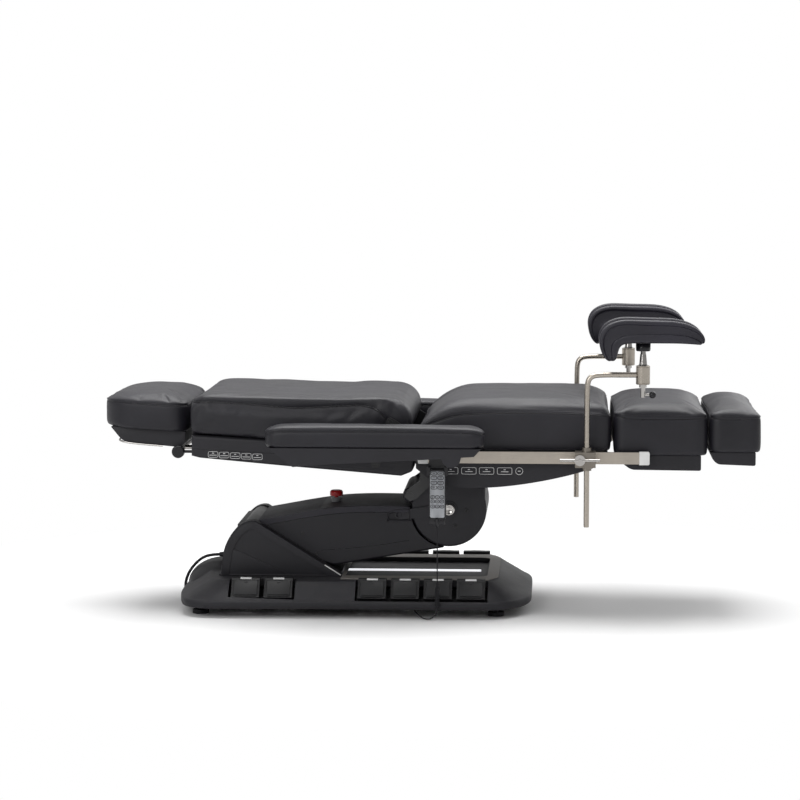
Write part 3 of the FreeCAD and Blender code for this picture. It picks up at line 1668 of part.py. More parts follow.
def knee_support(name, side):
    """One knee support: clamp, T-screw, bent post, swivel stem and the trough pad."""
    zero = Size("0", 0)
    post_y = mirrored(S.post_y, side)
    shift = S.far_support_shift if side > 0 else zero
    post_x = S.post_x - shift
    knuckle_x = S.knuckle_x - shift
    rail_low = S.frame_low - 2
    rail_high = rail_low + S.rail_height
    gap = S.running_gap

    inner, outer = y_range(S.rail_outer + gap, S.post_y + 24, side)
    block = box(
        "clamp_block_" + name, post_x - 34, post_x + 26, inner, outer, rail_low - 6, rail_high + 4
    )
    inner, outer = y_range(S.rail_outer - S.rail_thickness - 4, S.rail_outer + 4, side)
    hook = box(
        "clamp_hook_" + name, post_x - 34, post_x + 26, inner, outer, rail_high + gap, rail_high + 4
    )
    inner, outer = y_range(
        S.rail_outer - S.rail_thickness - 4, S.rail_outer - S.rail_thickness - gap, side
    )
    lip = box(
        "clamp_lip_" + name, post_x - 34, post_x + 26, inner, outer, rail_high - 7, rail_high + 4
    )
    sleeve = rod(
        "clamp_sleeve_" + name,
        "Z",
        (post_x, post_y, rail_low - 16),
        S.post_radius + 6,
        S.rail_height + 32,
    )
    bore = rod(
        "clamp_bore_" + name,
        "Z",
        (post_x, post_y, rail_low - 20),
        S.post_radius + gap,
        S.rail_height + 42,
    )
    screw_start = S.post_y + 10
    inner, outer = y_range(screw_start, S.post_y + 30, side)
    screw_hole = rod(
        "screw_hole_" + name, "Y", (post_x - 20, inner, S.frame_low + 15), zero + 5 + gap, outer - inner
    )
    finish_node(
        "rail_clamp_" + name,
        cut(
            "rail_clamp_" + name,
            fuse("clamp_body_" + name, [block, hook, lip, sleeve]),
            [bore, screw_hole],
        ),
    )

    inner, outer = y_range(S.post_y + 12, S.post_y + 44, side)
    shank = rod(
        "screw_shank_" + name, "Y", (post_x - 20, inner, S.frame_low + 15), zero + 5, outer - inner
    )
    inner, outer = y_range(S.post_y + 25, S.post_y + 38, side)
    ring = rod(
        "screw_ring_" + name, "Y", (post_x - 20, inner, S.frame_low + 15), zero + 16, outer - inner
    )
    bar_y = mirrored(S.post_y + 34, side)
    handle = rod(
        "screw_bar_" + name, "X", (post_x - 78, bar_y, S.frame_low + 15), zero + 4.5, zero + 116
    )
    finish_node("clamp_screw_" + name, fuse("clamp_screw_" + name, [shank, ring, handle]))

    upright = rod(
        "upright_" + name,
        "Z",
        (post_x, post_y, S.post_bottom),
        S.post_radius,
        S.post_top - S.post_bottom - S.post_bend,
    )
    bend = primitive(
        "Part::Torus",
        "post_bend_" + name,
        (zero, zero, zero),
        Radius1=S.post_bend,
        Radius2=S.post_radius,
        Angle3=90,
    )
    bend.Placement.Rotation = FreeCAD.Rotation(Vector(1, 0, 0), 90) * FreeCAD.Rotation(
        Vector(0, 0, 1), 90
    )
    for axis, value in zip("xyz", (post_x + S.post_bend, post_y, S.post_top - S.post_bend)):
        bind(bend, f"Placement.Base.{axis}", value)
    level = rod(
        "level_" + name,
        "X",
        (post_x + S.post_bend, post_y, S.post_top),
        S.post_radius,
        knuckle_x - post_x - S.post_bend,
    )
    knuckle = rod(
        "knuckle_" + name,
        "Z",
        (knuckle_x, post_y, S.post_top - S.knuckle_height / 2),
        S.knuckle_radius,
        S.knuckle_height,
    )
    hole = rod(
        "knuckle_hole_" + name,
        "Z",
        (knuckle_x, post_y, S.post_top - 60),
        S.stem_radius + gap,
        zero + 120,
    )
    finish_node(
        "support_post_" + name,
        cut("support_post_" + name, fuse("post_body_" + name, [upright, bend, level, knuckle]), [hole]),
    )

    stem = rod(
        "stem_" + name,
        "Z",
        (knuckle_x, post_y, S.post_top - 66),
        S.stem_radius,
        S.pad_tilt_z - S.post_top + 70,
    )
    taper_low = S.post_top + S.knuckle_height / 2 + gap
    taper = cone(
        "stem_taper_" + name, "Z", (knuckle_x, post_y, taper_low), zero + 12, zero + 9, zero + 32
    )
    cap = rod(
        "stem_collar_" + name,
        "Z",
        (knuckle_x, post_y, S.post_top - S.knuckle_height / 2 - gap - 8),
        zero + 11,
        zero + 8,
    )
    lever = rod("stem_lever_" + name, "X", (knuckle_x, post_y, S.post_top - 58), zero + 4, zero + 26)
    ball = primitive(
        "Part::Sphere", "stem_ball_" + name, (knuckle_x + 28, post_y, S.post_top - 58), Radius=zero + 10
    )
    axle_start = post_y - 16
    axle = rod("stem_axle_" + name, "Y", (knuckle_x, axle_start, S.pad_tilt_z), zero + 5, zero + 32)
    finish_node("pad_stem_" + name, fuse("pad_stem_" + name, [stem, taper, cap, lever, ball, axle]))

    knee_pad(name, post_y, shift)


def knee_pad(name, post_y, shift):
    """The trough: hooked at the knee end, drooping at the ankle, with its socket below."""
    zero = Size("0", 0)
    body = new_body("pad_shell_" + name)
    left, right = S.pad_left - shift, S.pad_right - shift
    knuckle_x = S.knuckle_x - shift
    low, top = S.pad_bottom, S.pad_top
    outline = [
        (left + 78, low + 1),
        (left + 64, low - 11),
        (left + 61, low - 36),
        (left + 49, low - 50),
        (left + 32, low - 45),
        (left + 15, low - 21),
        (left + 3, low + 13),
        (left, low + 44),
        (left + 8, top - 8),
        (left + 28, top),
        (right - 54, top - 3),
        (right - 24, top - 19),
        (right - 4, top - 40),
        (right, low + 13),
        (right - 4, low + 1),
        (right - 16, low),
        (right - 50, low + 3),
    ]
    half = S.pad_width / 2
    pad(body, "XZ", [outline], post_y - half, post_y + half)
    trough = [
        (post_y - half + S.pad_wall, low + 34),
        (post_y - half + S.pad_wall + 16, low + 18),
        (post_y + half - S.pad_wall - 16, low + 18),
        (post_y + half - S.pad_wall, low + 34),
        (post_y + half - S.pad_wall, top + 20),
        (post_y - half + S.pad_wall, top + 20),
    ]
    pocket(body, "YZ", [trough], left - 20, right + 20)
    socket = rod(
        "pad_socket_" + name,
        "Z",
        (knuckle_x, post_y, S.pad_tilt_z - 7),
        zero + 21.5,
        S.pad_bottom - S.pad_tilt_z + 9,
    )
    whole = fuse("pad_whole_" + name, [body, socket])
    start_y = post_y - 17
    bore = rod(
        "pad_bore_" + name, "Y", (knuckle_x, start_y, S.pad_tilt_z), zero + 5 + S.running_gap, zero + 34
    )
    room = box(
        "pad_room_" + name,
        knuckle_x - 11,
        knuckle_x + 11,
        post_y - 10,
        post_y + 10,
        S.pad_tilt_z - 10,
        S.pad_tilt_z + 9,
    )
    finish_node("knee_pad_" + name, cut("knee_pad_" + name, whole, [bore, room]))


def build():
    base_frame()
    base_cover()
    tray_trim()
    levelling_feet()
    rear_housing()
    cable_gland()
    power_cord()
    power_coil()
    power_plug()
    foot_pedals()
    lift_arm()
    arm_cover()
    arm_side_plates()
    emergency_stop()
    level_link()
    lift_head()
    seat_frame()
    rail_end_caps()
    seat_shroud()
    seat_cushion()
    handset_parts()
    handset_cord()
    back_parts()
    head_rest()
    leg_and_foot()
    armrests()
    for name, side in SIDES:
        knee_support(name, side)


def check_and_write():
    """Stop on any failed object, then write each node's solids."""
    doc.recompute()
    failed = []
    for item in doc.Objects:
        if "Invalid" in item.State or "Error" in item.State:
            failed.append(item.Label)
    for item in NODES:
        shape = item.Shape
        if shape.isNull() or not shape.isValid() or shape.Volume <= 0:
            failed.append(item.Label + " (shape)")
    if failed:
        raise RuntimeError("failed: " + ", ".join(failed))
    os.makedirs("parts", exist_ok=True)
    for item in NODES:
        item.Shape.exportStep(f"parts/{item.Label}.step")
    print(f"{len(NODES)} nodes written")


build()
check_and_write()
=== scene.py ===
"""Electric examination table: covers, upholstery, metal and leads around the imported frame."""
import math

import bmesh
import bpy
from bpy.props import FloatProperty, FloatVectorProperty, PointerProperty
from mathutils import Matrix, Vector, noise
from mathutils.bvhtree import BVHTree
from mathutils.kdtree import KDTree


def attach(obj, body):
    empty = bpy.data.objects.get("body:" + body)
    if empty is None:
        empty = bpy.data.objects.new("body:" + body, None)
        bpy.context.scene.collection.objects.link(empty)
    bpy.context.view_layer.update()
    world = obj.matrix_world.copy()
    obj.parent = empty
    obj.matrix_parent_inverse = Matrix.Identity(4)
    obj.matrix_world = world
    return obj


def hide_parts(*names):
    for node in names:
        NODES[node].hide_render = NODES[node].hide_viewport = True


bl_info = {
    "name": "Electric examination table",
    "version": (1, 0, 0),
    "blender": (4, 5, 0),
    "location": "3D View > Sidebar > Exam table",
    "description": "Builds the covers, cushions, metal parts and leads of an electric examination table",
    "category": "Add Mesh",
}

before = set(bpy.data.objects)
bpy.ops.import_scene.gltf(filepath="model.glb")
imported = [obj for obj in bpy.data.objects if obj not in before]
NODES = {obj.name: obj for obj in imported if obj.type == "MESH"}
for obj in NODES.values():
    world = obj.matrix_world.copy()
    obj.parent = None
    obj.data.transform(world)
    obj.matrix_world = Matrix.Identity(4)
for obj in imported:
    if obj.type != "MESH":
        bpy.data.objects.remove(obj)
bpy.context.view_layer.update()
SIDES = (("near", -1), ("far", 1))
SHROUD_HALF = 0.2850
SUPPORT_X = 0.627
SUPPORT_Y = 0.348
FAR_SHIFT = -0.025


def colour(label, words, value):
    """A colour property of the panel."""
    return FloatVectorProperty(name=label, description=words, subtype="COLOR", size=3, min=0, max=1,
                               default=value)


def length(label, words, value):
    """A length property of the panel, in metres."""
    return FloatProperty(name=label, description=words, subtype="DISTANCE", unit="LENGTH", min=0,
                         default=value)


# Sizes and colours that a user would change


class TableColours(bpy.types.PropertyGroup):
    """Colours of the upholstery, covers and fittings"""

    leather: colour("Leather", "Colour of the upholstery", (0.0088, 0.0082, 0.0122))
    cover: colour("Covers", "Colour of the moulded covers", (0.0092, 0.0087, 0.0116))
    trim: colour("Tray trim", "Colour of the band round the tray", (0.165, 0.152, 0.140))
    nickel: colour("Nickel", "Colour of the satin metal", (0.40, 0.362, 0.315))
    chrome: colour("Chrome", "Colour of the polished metal", (0.42, 0.405, 0.39))
    frame_steel: colour("Frame", "Colour of the painted frame parts", (0.014, 0.014, 0.015))
    stop: colour("Stop button", "Colour of the emergency stop", (0.42, 0.012, 0.014))
    caps: colour("Rail caps", "Colour of the moulded rail caps", (0.66, 0.66, 0.65))
    handset: colour("Handset", "Colour of the hand control's front", (0.30, 0.31, 0.33))


class TableSizes(bpy.types.PropertyGroup):
    """Sizes of the finishing details"""

    mains_lead: length("Mains lead", "Diameter of the mains lead", 0.009)
    handset_lead: length("Handset lead", "Diameter of the handset's lead", 0.0035)
    seam_depth: length("Seam depth", "How far a seam sinks into the leather", 0.0022)
    stitch: length("Stitch", "Length of one stitch", 0.0045)
    grain: length("Leather grain", "Size of one cell of the leather's grain", 0.0016)


# Shader groups


class Group:
    """A shader group that is being built: its tree, its input node and its output node."""

    def __init__(self, name, inputs, outputs):
        self.tree = bpy.data.node_groups.new(name, "ShaderNodeTree")
        for label, default in inputs:
            socket = self.tree.interface.new_socket(label, in_out="INPUT",
                                                    socket_type="NodeSocketFloat")
            socket.default_value = default
        for label in outputs:
            self.tree.interface.new_socket(label, in_out="OUTPUT", socket_type="NodeSocketFloat")
        self.inputs = self.tree.nodes.new("NodeGroupInput").outputs
        self.outputs = self.tree.nodes.new("NodeGroupOutput").inputs

    def add(self, kind, output=0, settings=None, **sockets):
        return add_node(self.tree, kind, output, settings, **sockets)

    def math(self, operation, first, second=0.0, third=0.0):
        return add_node(self.tree, "ShaderNodeMath", 0, {"operation": operation}, s0=first, s1=second,
                        s2=third)

    def put(self, label, value):
        self.tree.links.new(value, self.outputs[label])


def add_node(tree, kind, output=0, settings=None, **sockets):
    """A new node with its settings and sockets; s0 is the first socket, other names are the sockets' own."""
    made = tree.nodes.new(kind)
    for key, value in (settings or {}).items():
        setattr(made, key, value)
    for key, value in sockets.items():
        name = int(key[1:]) if key[0] == "s" and key[1:].isdigit() else key.replace("_", " ")
        if isinstance(value, bpy.types.NodeSocket):
            tree.links.new(value, made.inputs[name])
        else:
            made.inputs[name].default_value = value
    return made.outputs[output]


def leather_grain_group():
    """Small pebbled cells with creases between them, and slow changes of tone."""
    group = Group("Leather grain", [("Cell", 0.0016), ("Crease", 1.0)], ["Height", "Tone"])
    place = group.add("ShaderNodeTexCoord", "Object")
    scale = group.math("DIVIDE", 1.0, group.inputs["Cell"])
    cells = group.add(
        "ShaderNodeTexVoronoi", "Distance", {"feature": "DISTANCE_TO_EDGE"}, Vector=place, Scale=scale,
        Randomness=0.9
    )
    valley = group.add("ShaderNodeMapRange", 0, Value=cells, From_Min=0.0, From_Max=0.35)
    slow_scale = group.math("MULTIPLY", scale, 0.09)
    slow = group.add("ShaderNodeTexNoise", 0, Vector=place, Scale=slow_scale, Detail=4.0, Roughness=0.6)
    creased = group.math("MULTIPLY", valley, group.inputs["Crease"])
    height = group.math("MULTIPLY_ADD", slow, 0.7, creased)
    broad = group.add("ShaderNodeTexNoise", 0, Vector=place, Scale=5.0, Detail=3.0, Roughness=0.55)
    tone = group.math("MULTIPLY_ADD", valley, 0.25, group.math("MULTIPLY", broad, 0.75))
    group.put("Height", height)
    group.put("Tone", tone)
    return group.tree


def moulded_grain_group():
    """The fine spark-eroded texture of moulded covers."""
    group = Group("Moulded grain", [("Grain", 0.001)], ["Height", "Tone"])
    place = group.add("ShaderNodeTexCoord", "Object")
    scale = group.math("DIVIDE", 1.0, group.inputs["Grain"])
    fine = group.add("ShaderNodeTexNoise", 0, Vector=place, Scale=scale, Detail=2.0, Roughness=0.7)
    broad = group.add("ShaderNodeTexNoise", 0, Vector=place, Scale=6.0, Detail=4.0, Roughness=0.6)
    group.put("Height", fine)
    group.put("Tone", broad)
    return group.tree


def edge_wear_and_highlight_group():
    """A mask of the edges, broken up by noise: wear where hands and cloths rub, and a painted highlight
    along edges that catch the light.
    """
    group = Group("Edge wear and highlight", [("Width", 0.002), ("Amount", 0.5)], ["Mask"])
    place = group.add("ShaderNodeTexCoord", "Object")
    soft = group.add("ShaderNodeBevel", 0, {"samples": 4}, Radius=group.inputs["Width"])
    plain = group.add("ShaderNodeNewGeometry", "Normal")
    alike = group.add("ShaderNodeVectorMath", "Value", {"operation": "DOT_PRODUCT"}, s0=soft, s1=plain)
    turned = group.add("ShaderNodeMapRange", 0, Value=alike, From_Min=0.995, From_Max=0.86)
    patches = group.add("ShaderNodeTexNoise", 0, Vector=place, Scale=60.0, Detail=4.0, Roughness=0.65)
    broken = group.add("ShaderNodeMapRange", 0, Value=patches, From_Min=0.35, From_Max=0.65)
    worn_and_lit = group.math("MULTIPLY", group.math("MULTIPLY", turned, broken), group.inputs["Amount"])
    group.put("Mask", worn_and_lit)
    return group.tree


def dust_group():
    """A thin film that settles on faces that look up."""
    group = Group("Settled dust", [("Amount", 0.3)], ["Mask"])
    place = group.add("ShaderNodeTexCoord", "Object")
    facing = group.add("ShaderNodeSeparateXYZ", "Z",
                       Vector=group.add("ShaderNodeNewGeometry", "Normal"))
    upward = group.add("ShaderNodeMapRange", 0, Value=facing, From_Min=0.55, From_Max=1.0)
    clouds = group.add("ShaderNodeTexNoise", 0, Vector=place, Scale=14.0, Detail=6.0, Roughness=0.7)
    spread = group.add("ShaderNodeMapRange", 0, Value=clouds, From_Min=0.38, From_Max=0.72)
    film = group.math("MULTIPLY", group.math("MULTIPLY", upward, spread), group.inputs["Amount"])
    group.put("Mask", film)
    return group.tree


def brushed_group():
    """Fine streaks along one axis, as satin finishing leaves them."""
    group = Group("Brushed streaks", [("Along X", 1.0), ("Along Z", 1.0)], ["Height", "Tone"])
    place = group.add("ShaderNodeTexCoord", "Object")
    parts = [group.add("ShaderNodeSeparateXYZ", axis, Vector=place) for axis in "XYZ"]
    stretched = group.add(
        "ShaderNodeCombineXYZ",
        0,
        X=group.math("MULTIPLY", parts[0], group.inputs["Along X"]),
        Y=parts[1],
        Z=group.math("MULTIPLY", parts[2], group.inputs["Along Z"]),
    )
    streaks = group.add("ShaderNodeTexNoise", 0, Vector=stretched, Scale=900.0, Detail=3.0,
                        Roughness=0.6)
    smudge = group.add("ShaderNodeTexNoise", 0, Vector=place, Scale=22.0, Detail=3.0, Roughness=0.6)
    group.put("Height", streaks)
    group.put("Tone", group.math("MULTIPLY_ADD", streaks, 0.4, group.math("MULTIPLY", smudge, 0.6)))
    return group.tree


GROUPS = {
    "leather": leather_grain_group(),
    "moulded": moulded_grain_group(),
    "wear_and_highlight": edge_wear_and_highlight_group(),
    "dust": dust_group(),
    "brushed": brushed_group(),
}


class Finish:
    """A material with its shader, and the few steps that every finish here is made of."""

    def __init__(self, name, metallic=0.0, **plain):
        self.material = bpy.data.materials.new(name)
        self.material.use_nodes = True
        self.tree = self.material.node_tree
        self.shader = self.tree.nodes["Principled BSDF"]
        self.shader.inputs["Metallic"].default_value = metallic
        for key, value in plain.items():
            self.shader.inputs[key.replace("_", " ")].default_value = value

    def group(self, kind, output, **values):
        made = self.tree.nodes.new("ShaderNodeGroup")
        made.node_tree = GROUPS[kind]
        for key, value in values.items():
            made.inputs[key.replace("_", " ")].default_value = value
        return [made.outputs[o] for o in output] if isinstance(output, tuple) else made.outputs[output]

    def add(self, kind, output=0, settings=None, **sockets):
        return add_node(self.tree, kind, output, settings, **sockets)

    def between(self, factor, first, second):
        """A colour between two, by a factor from 0 to 1."""
        made = self.tree.nodes.new("ShaderNodeMix")
        made.data_type = "RGBA"
        for slot, value in ((0, factor), (6, first), (7, second)):
            if isinstance(value, bpy.types.NodeSocket):
                self.tree.links.new(value, made.inputs[slot])
            elif slot:
                made.inputs[slot].default_value = (*value, 1.0)
            else:
                made.inputs[slot].default_value = value
        return made.outputs[2]

    def ranged(self, value, low, high):
        """A value from 0.3 to 0.7 spread over another range."""
        return self.add("ShaderNodeMapRange", 0, Value=value, From_Min=0.3, From_Max=0.7, To_Min=low,
                        To_Max=high)

    def bump(self, height, distance, strength=1.0):
        normal = self.add("ShaderNodeBump", 0, Height=height, Distance=distance, Strength=strength)
        self.tree.links.new(normal, self.shader.inputs["Normal"])

    def link(self, value, socket):
        self.tree.links.new(value, self.shader.inputs[socket])
        return self


def shade(value, factor):
    """A colour made lighter or darker."""
    return tuple(min(1.0, v * factor) for v in value)


FINISHES = {}


def leather_finish(name, base, cell, rough):
    finish = Finish(name, Specular_IOR_Level=0.34)
    height, tone = finish.group("leather", ("Height", "Tone"), Cell=cell, Crease=1.0)
    wear_and_highlight = finish.group("wear_and_highlight", "Mask", Width=0.006, Amount=0.35)
    dust = finish.group("dust", "Mask", Amount=0.06)
    toned = finish.between(finish.ranged(tone, 0.0, 1.0), shade(base, 0.72), shade(base, 1.3))
    # Edges lightened by the mask: partly rubbed wear, partly a painted highlight.
    rubbed_and_lit = finish.between(wear_and_highlight, toned, shade(base, 2.6))
    finish.link(finish.between(dust, rubbed_and_lit, (0.16, 0.16, 0.16)), "Base Color")
    finish.link(finish.ranged(tone, rough - 0.05, rough + 0.06), "Roughness")
    finish.bump(height, 0.00022, 0.55)
    return finish.material


def moulded_finish(name, base, grain, rough, depth=0.00012, dusty=0.10, worn_and_lit=0.5):
    finish = Finish(name, Specular_IOR_Level=0.34)
    height, tone = finish.group("moulded", ("Height", "Tone"), Grain=grain)
    wear_and_highlight = finish.group("wear_and_highlight", "Mask", Width=0.0016, Amount=worn_and_lit)
    dust = finish.group("dust", "Mask", Amount=dusty)
    toned = finish.between(finish.ranged(tone, 0.0, 1.0), shade(base, 0.8), shade(base, 1.2))
    # Edges of dark mouldings lightened by the mask (rubbed wear and painted highlight); pale mouldings are
    # darkened by wear.
    rubbed_and_lit = finish.between(wear_and_highlight, toned, shade(base, 3.2) if max(base) < 0.3 else shade(base, 0.86))
    finish.link(finish.between(dust, rubbed_and_lit, (0.20, 0.195, 0.19)), "Base Color")
    finish.link(finish.ranged(tone, rough - 0.06, rough + 0.07), "Roughness")
    finish.bump(height, depth, 0.6)
    return finish.material


def metal_finish(name, base, rough, along_x=1.0, along_z=1.0, streak=0.00002):
    finish = Finish(name, metallic=1.0)
    height, tone = finish.group("brushed", ("Height", "Tone"), Along_X=along_x, Along_Z=along_z)
    toned = finish.between(finish.ranged(tone, 0.0, 1.0), shade(base, 0.86), shade(base, 1.08))
    finish.link(toned, "Base Color")
    finish.link(finish.ranged(tone, rough - 0.05, rough + 0.08), "Roughness")
    finish.bump(height, streak, 0.5)
    return finish.material


def lamp_finish(name, glow):
    """A diffuser that is lit from behind."""
    finish = Finish(name, Roughness=0.4, Emission_Strength=0.9)
    soft = finish.add("ShaderNodeTexNoise", 0, Scale=9.0, Detail=1.0)
    finish.link(finish.between(finish.ranged(soft, 0.0, 1.0), glow, shade(glow, 0.93)),
                "Emission Color")
    return finish.material


def rails_finish(name, paint, metal):
    """Painted frame between the shrouds, satin metal on the two rails outside them."""
    finish = Finish(name)
    height, tone = finish.group("brushed", ("Height", "Tone"), Along_X=0.03, Along_Z=1.0)
    place = finish.add("ShaderNodeTexCoord", "Object")
    across = finish.add("ShaderNodeSeparateXYZ", "Y", Vector=place)
    apart = finish.add("ShaderNodeMath", 0, {"operation": "ABSOLUTE"}, s0=across)
    outside = finish.add("ShaderNodeMapRange", 0, Value=apart, From_Min=0.3130, From_Max=0.3136)
    shaded = finish.between(finish.ranged(tone, 0.0, 1.0), shade(metal, 0.86), shade(metal, 1.06))
    finish.link(finish.between(outside, paint, shaded), "Base Color")
    finish.link(outside, "Metallic")
    finish.link(finish.ranged(tone, 0.26, 0.38), "Roughness")
    finish.bump(height, 0.00002, 0.5)
    return finish.material


def make_finishes():
    """Every finish of the table, from the panel's colours."""
    c = bpy.context.scene.table_colours
    sizes = bpy.context.scene.table_sizes
    leather = tuple(c.leather)
    cover = tuple(c.cover)
    FINISHES.update(
        {
            "leather": leather_finish("charcoal leather", leather, sizes.grain, 0.46),
            "moulded_pad": leather_finish("moulded pad skin", shade(leather, 1.9), sizes.grain * 0.7,
                                          0.42),
            "cover": moulded_finish("base cover plastic", cover, 0.0011, 0.56),
            "shroud": moulded_finish("shroud plastic", shade(cover, 1.15), 0.0008, 0.5),
            # Twice the cover's colour: the arm's top is painted lighter, as the overhead light makes it
            # look; the coarse texture is its own.
            "textured_lit_top": moulded_finish("coarse textured cover", shade(cover, 2.0), 0.0022, 0.62,
                                       depth=0.0005),
            "pedal": moulded_finish("pedal plastic", shade(cover, 0.30), 0.0007, 0.46, depth=0.00005),
            "frame": moulded_finish("frame paint", tuple(c.frame_steel), 0.0006, 0.42, depth=0.00004),
            "trim": moulded_finish("tray trim", tuple(c.trim), 0.0009, 0.48),
            "rubber": moulded_finish("black rubber", shade(cover, 0.8), 0.0012, 0.72, worn_and_lit=0.2),
            "black": moulded_finish("gloss black plastic", shade(cover, 0.7), 0.0005, 0.24,
                                    depth=0.00002),
            "nickel": metal_finish("satin nickel", tuple(c.nickel), 0.27, along_z=0.04),
            "rails": rails_finish("frame and rails", tuple(c.frame_steel), tuple(c.nickel)),
            "chrome": metal_finish("polished chrome", tuple(c.chrome), 0.12, streak=0.000004),
            "stop": moulded_finish("stop button red", tuple(c.stop), 0.0006, 0.30, depth=0.00003,
                                   worn_and_lit=0.25),
            "caps": moulded_finish("rail cap white", tuple(c.caps), 0.0008, 0.36, depth=0.00003,
                                   dusty=0.0),
            "mark": moulded_finish("printed white", (0.62, 0.62, 0.62), 0.0004, 0.45, depth=0.00002,
                                   dusty=0.0),
            "grey": moulded_finish("grey moulding", (0.16, 0.16, 0.165), 0.0007, 0.42),
            "silver": moulded_finish("silver lacquer", tuple(c.handset), 0.0003, 0.30, depth=0.00001,
                                     dusty=0.0),
            "bronze": metal_finish("dull nickel", shade(tuple(c.nickel), 0.55), 0.34),
            "lamp": lamp_finish("tray light", (0.95, 0.96, 1.0)),
        }
    )


# Mesh and curve helpers


def new_object(name, data):
    made = bpy.data.objects.new(name, data)
    bpy.context.scene.collection.objects.link(made)
    return made


def settle(piece, finish, body, smooth=True):
    """Gives a finished piece its material and its body."""
    piece.data.materials.clear()
    piece.data.materials.append(FINISHES[finish])
    if piece.type == "MESH" and smooth:
        piece.data.shade_smooth()
    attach(piece, body)
    return piece


def plain_mesh(piece):
    """Turns a piece's modifiers, or a curve, into a plain mesh on the same object name."""
    graph = bpy.context.evaluated_depsgraph_get()
    mesh = bpy.data.meshes.new_from_object(piece.evaluated_get(graph))
    name = piece.name
    bpy.data.objects.remove(piece)
    return new_object(name, mesh)


def spline(name, points, radius=0.0, order=3):
    """A smooth open NURBS line through the air, with a round bevel."""
    data = bpy.data.curves.new(name, "CURVE")
    data.dimensions = "3D"
    line = data.splines.new("NURBS")
    line.points.add(len(points) - 1)
    for target, point in zip(line.points, points):
        target.co = (*point, 1.0)
    line.order_u = order
    line.use_endpoint_u = True
    line.resolution_u = 12
    data.bevel_depth = radius
    data.bevel_resolution = 3
    data.use_fill_caps = True
    return new_object(name, data)


# Smaller builders for hard parts


def finished(name, work):
    """The worked mesh as an object, its faces turned outwards."""
    bmesh.ops.recalc_face_normals(work, faces=work.faces)
    mesh = bpy.data.meshes.new(name)
    work.to_mesh(mesh)
    work.free()
    return new_object(name, mesh)


def block(name, low, high, rounding=0.001, segments=3):
    """A box between two corners, its edges rounded."""
    work = bmesh.new()
    bmesh.ops.create_cube(work, size=1.0)
    for vertex in work.verts:
        vertex.co = Vector([a + (b - a) * (c + 0.5) for a, b, c in zip(low, high, vertex.co)])
    bmesh.ops.bevel(
        work, geom=work.edges[:], offset=rounding, segments=segments, profile=0.5, affect="EDGES",
        clamp_overlap=True
    )
    return finished(name, work)


def turned(name, centre, axis, profile, steps=36):
    """A turned body; its profile gives radii and places along the axis, and starts and ends at radius 0."""
    work = bmesh.new()
    number = "XYZ".index(axis)
    rings = []
    for radius, place in profile:
        ring = []
        for step in range(steps):
            angle = math.tau * step / steps
            spot = Vector(centre)
            spot[number] += place
            spot[(number + 1) % 3] += radius * math.cos(angle)
            spot[(number + 2) % 3] += radius * math.sin(angle)
            ring.append(work.verts.new(spot))
        rings.append(ring)
    for low, high in zip(rings, rings[1:]):
        for step in range(steps):
            after = (step + 1) % steps
            work.faces.new((low[step], low[after], high[after], high[step]))
    bmesh.ops.remove_doubles(work, verts=work.verts, dist=1e-7)
    return finished(name, work)


def loop(name, points, radius, closed=True):
    """A thin line through the points, closed or open."""
    data = bpy.data.curves.new(name, "CURVE")
    data.dimensions = "3D"
    line = data.splines.new("POLY")
    line.points.add(len(points) - 1)
    for target, point in zip(line.points, points):
        target.co = (*point, 1.0)
    line.use_cyclic_u = closed
    data.bevel_depth = radius
    data.bevel_resolution = 2
    data.use_fill_caps = not closed
    return plain_mesh(new_object(name, data))


def softened(outline, reaches, steps=6, sides=6):
    """A closed outline with rounded corners, always with the same number of points."""
    count = len(outline)
    arcs = []
    for index, (corner, reach) in enumerate(zip(outline, reaches)):
        here = Vector(corner)
        back = Vector(outline[index - 1]) - here
        on = Vector(outline[(index + 1) % count]) - here
        start = here + back.normalized() * min(reach, back.length * 0.48)
        end = here + on.normalized() * min(reach, on.length * 0.48)
        shares = [i / steps for i in range(steps + 1)]
        arcs.append([start.lerp(here, s).lerp(here.lerp(end, s), s) for s in shares])
    points = []
    for index, arc_points in enumerate(arcs):
        points += arc_points
        after = arcs[(index + 1) % count][0]
        points += [arc_points[-1].lerp(after, i / sides) for i in range(1, sides)]
    return points


def oblong(x, z, width, height):
    """The corners of an upright rectangle about its middle."""
    left, right, low, high = x - width / 2, x + width / 2, z - height / 2, z + height / 2
    return [(left, low), (right, low), (right, high), (left, high)]


def carved(piece, cutters, operation="DIFFERENCE"):
    """The piece with other bodies taken off it, or joined to it."""
    for cutter in cutters:
        modifier = piece.modifiers.new("cut", "BOOLEAN")
        modifier.operation = operation
        modifier.object = cutter
        modifier.solver = "EXACT"
    piece = plain_mesh(piece)
    for cutter in cutters:
        bpy.data.objects.remove(cutter)
    return piece


def crisp(piece, degrees=32):
    """Smooth shading that stops at sharp edges."""
    piece.data.shade_smooth()
    piece.data.set_sharp_from_angle(angle=math.radians(degrees))
    return piece


def joined(name, pieces):
    """Several meshes as one."""
    work = bmesh.new()
    for piece in pieces:
        work.from_mesh(piece.data)
        bpy.data.objects.remove(piece)
    mesh = bpy.data.meshes.new(name)
    work.to_mesh(mesh)
    work.free()
    return new_object(name, mesh)


def band(outline, depth):
    """A strip along an open line of (x, z) points, to its right."""
    inner = []
    for index, point in enumerate(outline):
        before = Vector(outline[max(0, index - 1)])
        after = Vector(outline[min(len(outline) - 1, index + 1)])
        way = (after - before).normalized()
        inner.append((point[0] + way.y * depth, point[1] - way.x * depth))
    return list(outline) + inner[::-1]


# Upholstery


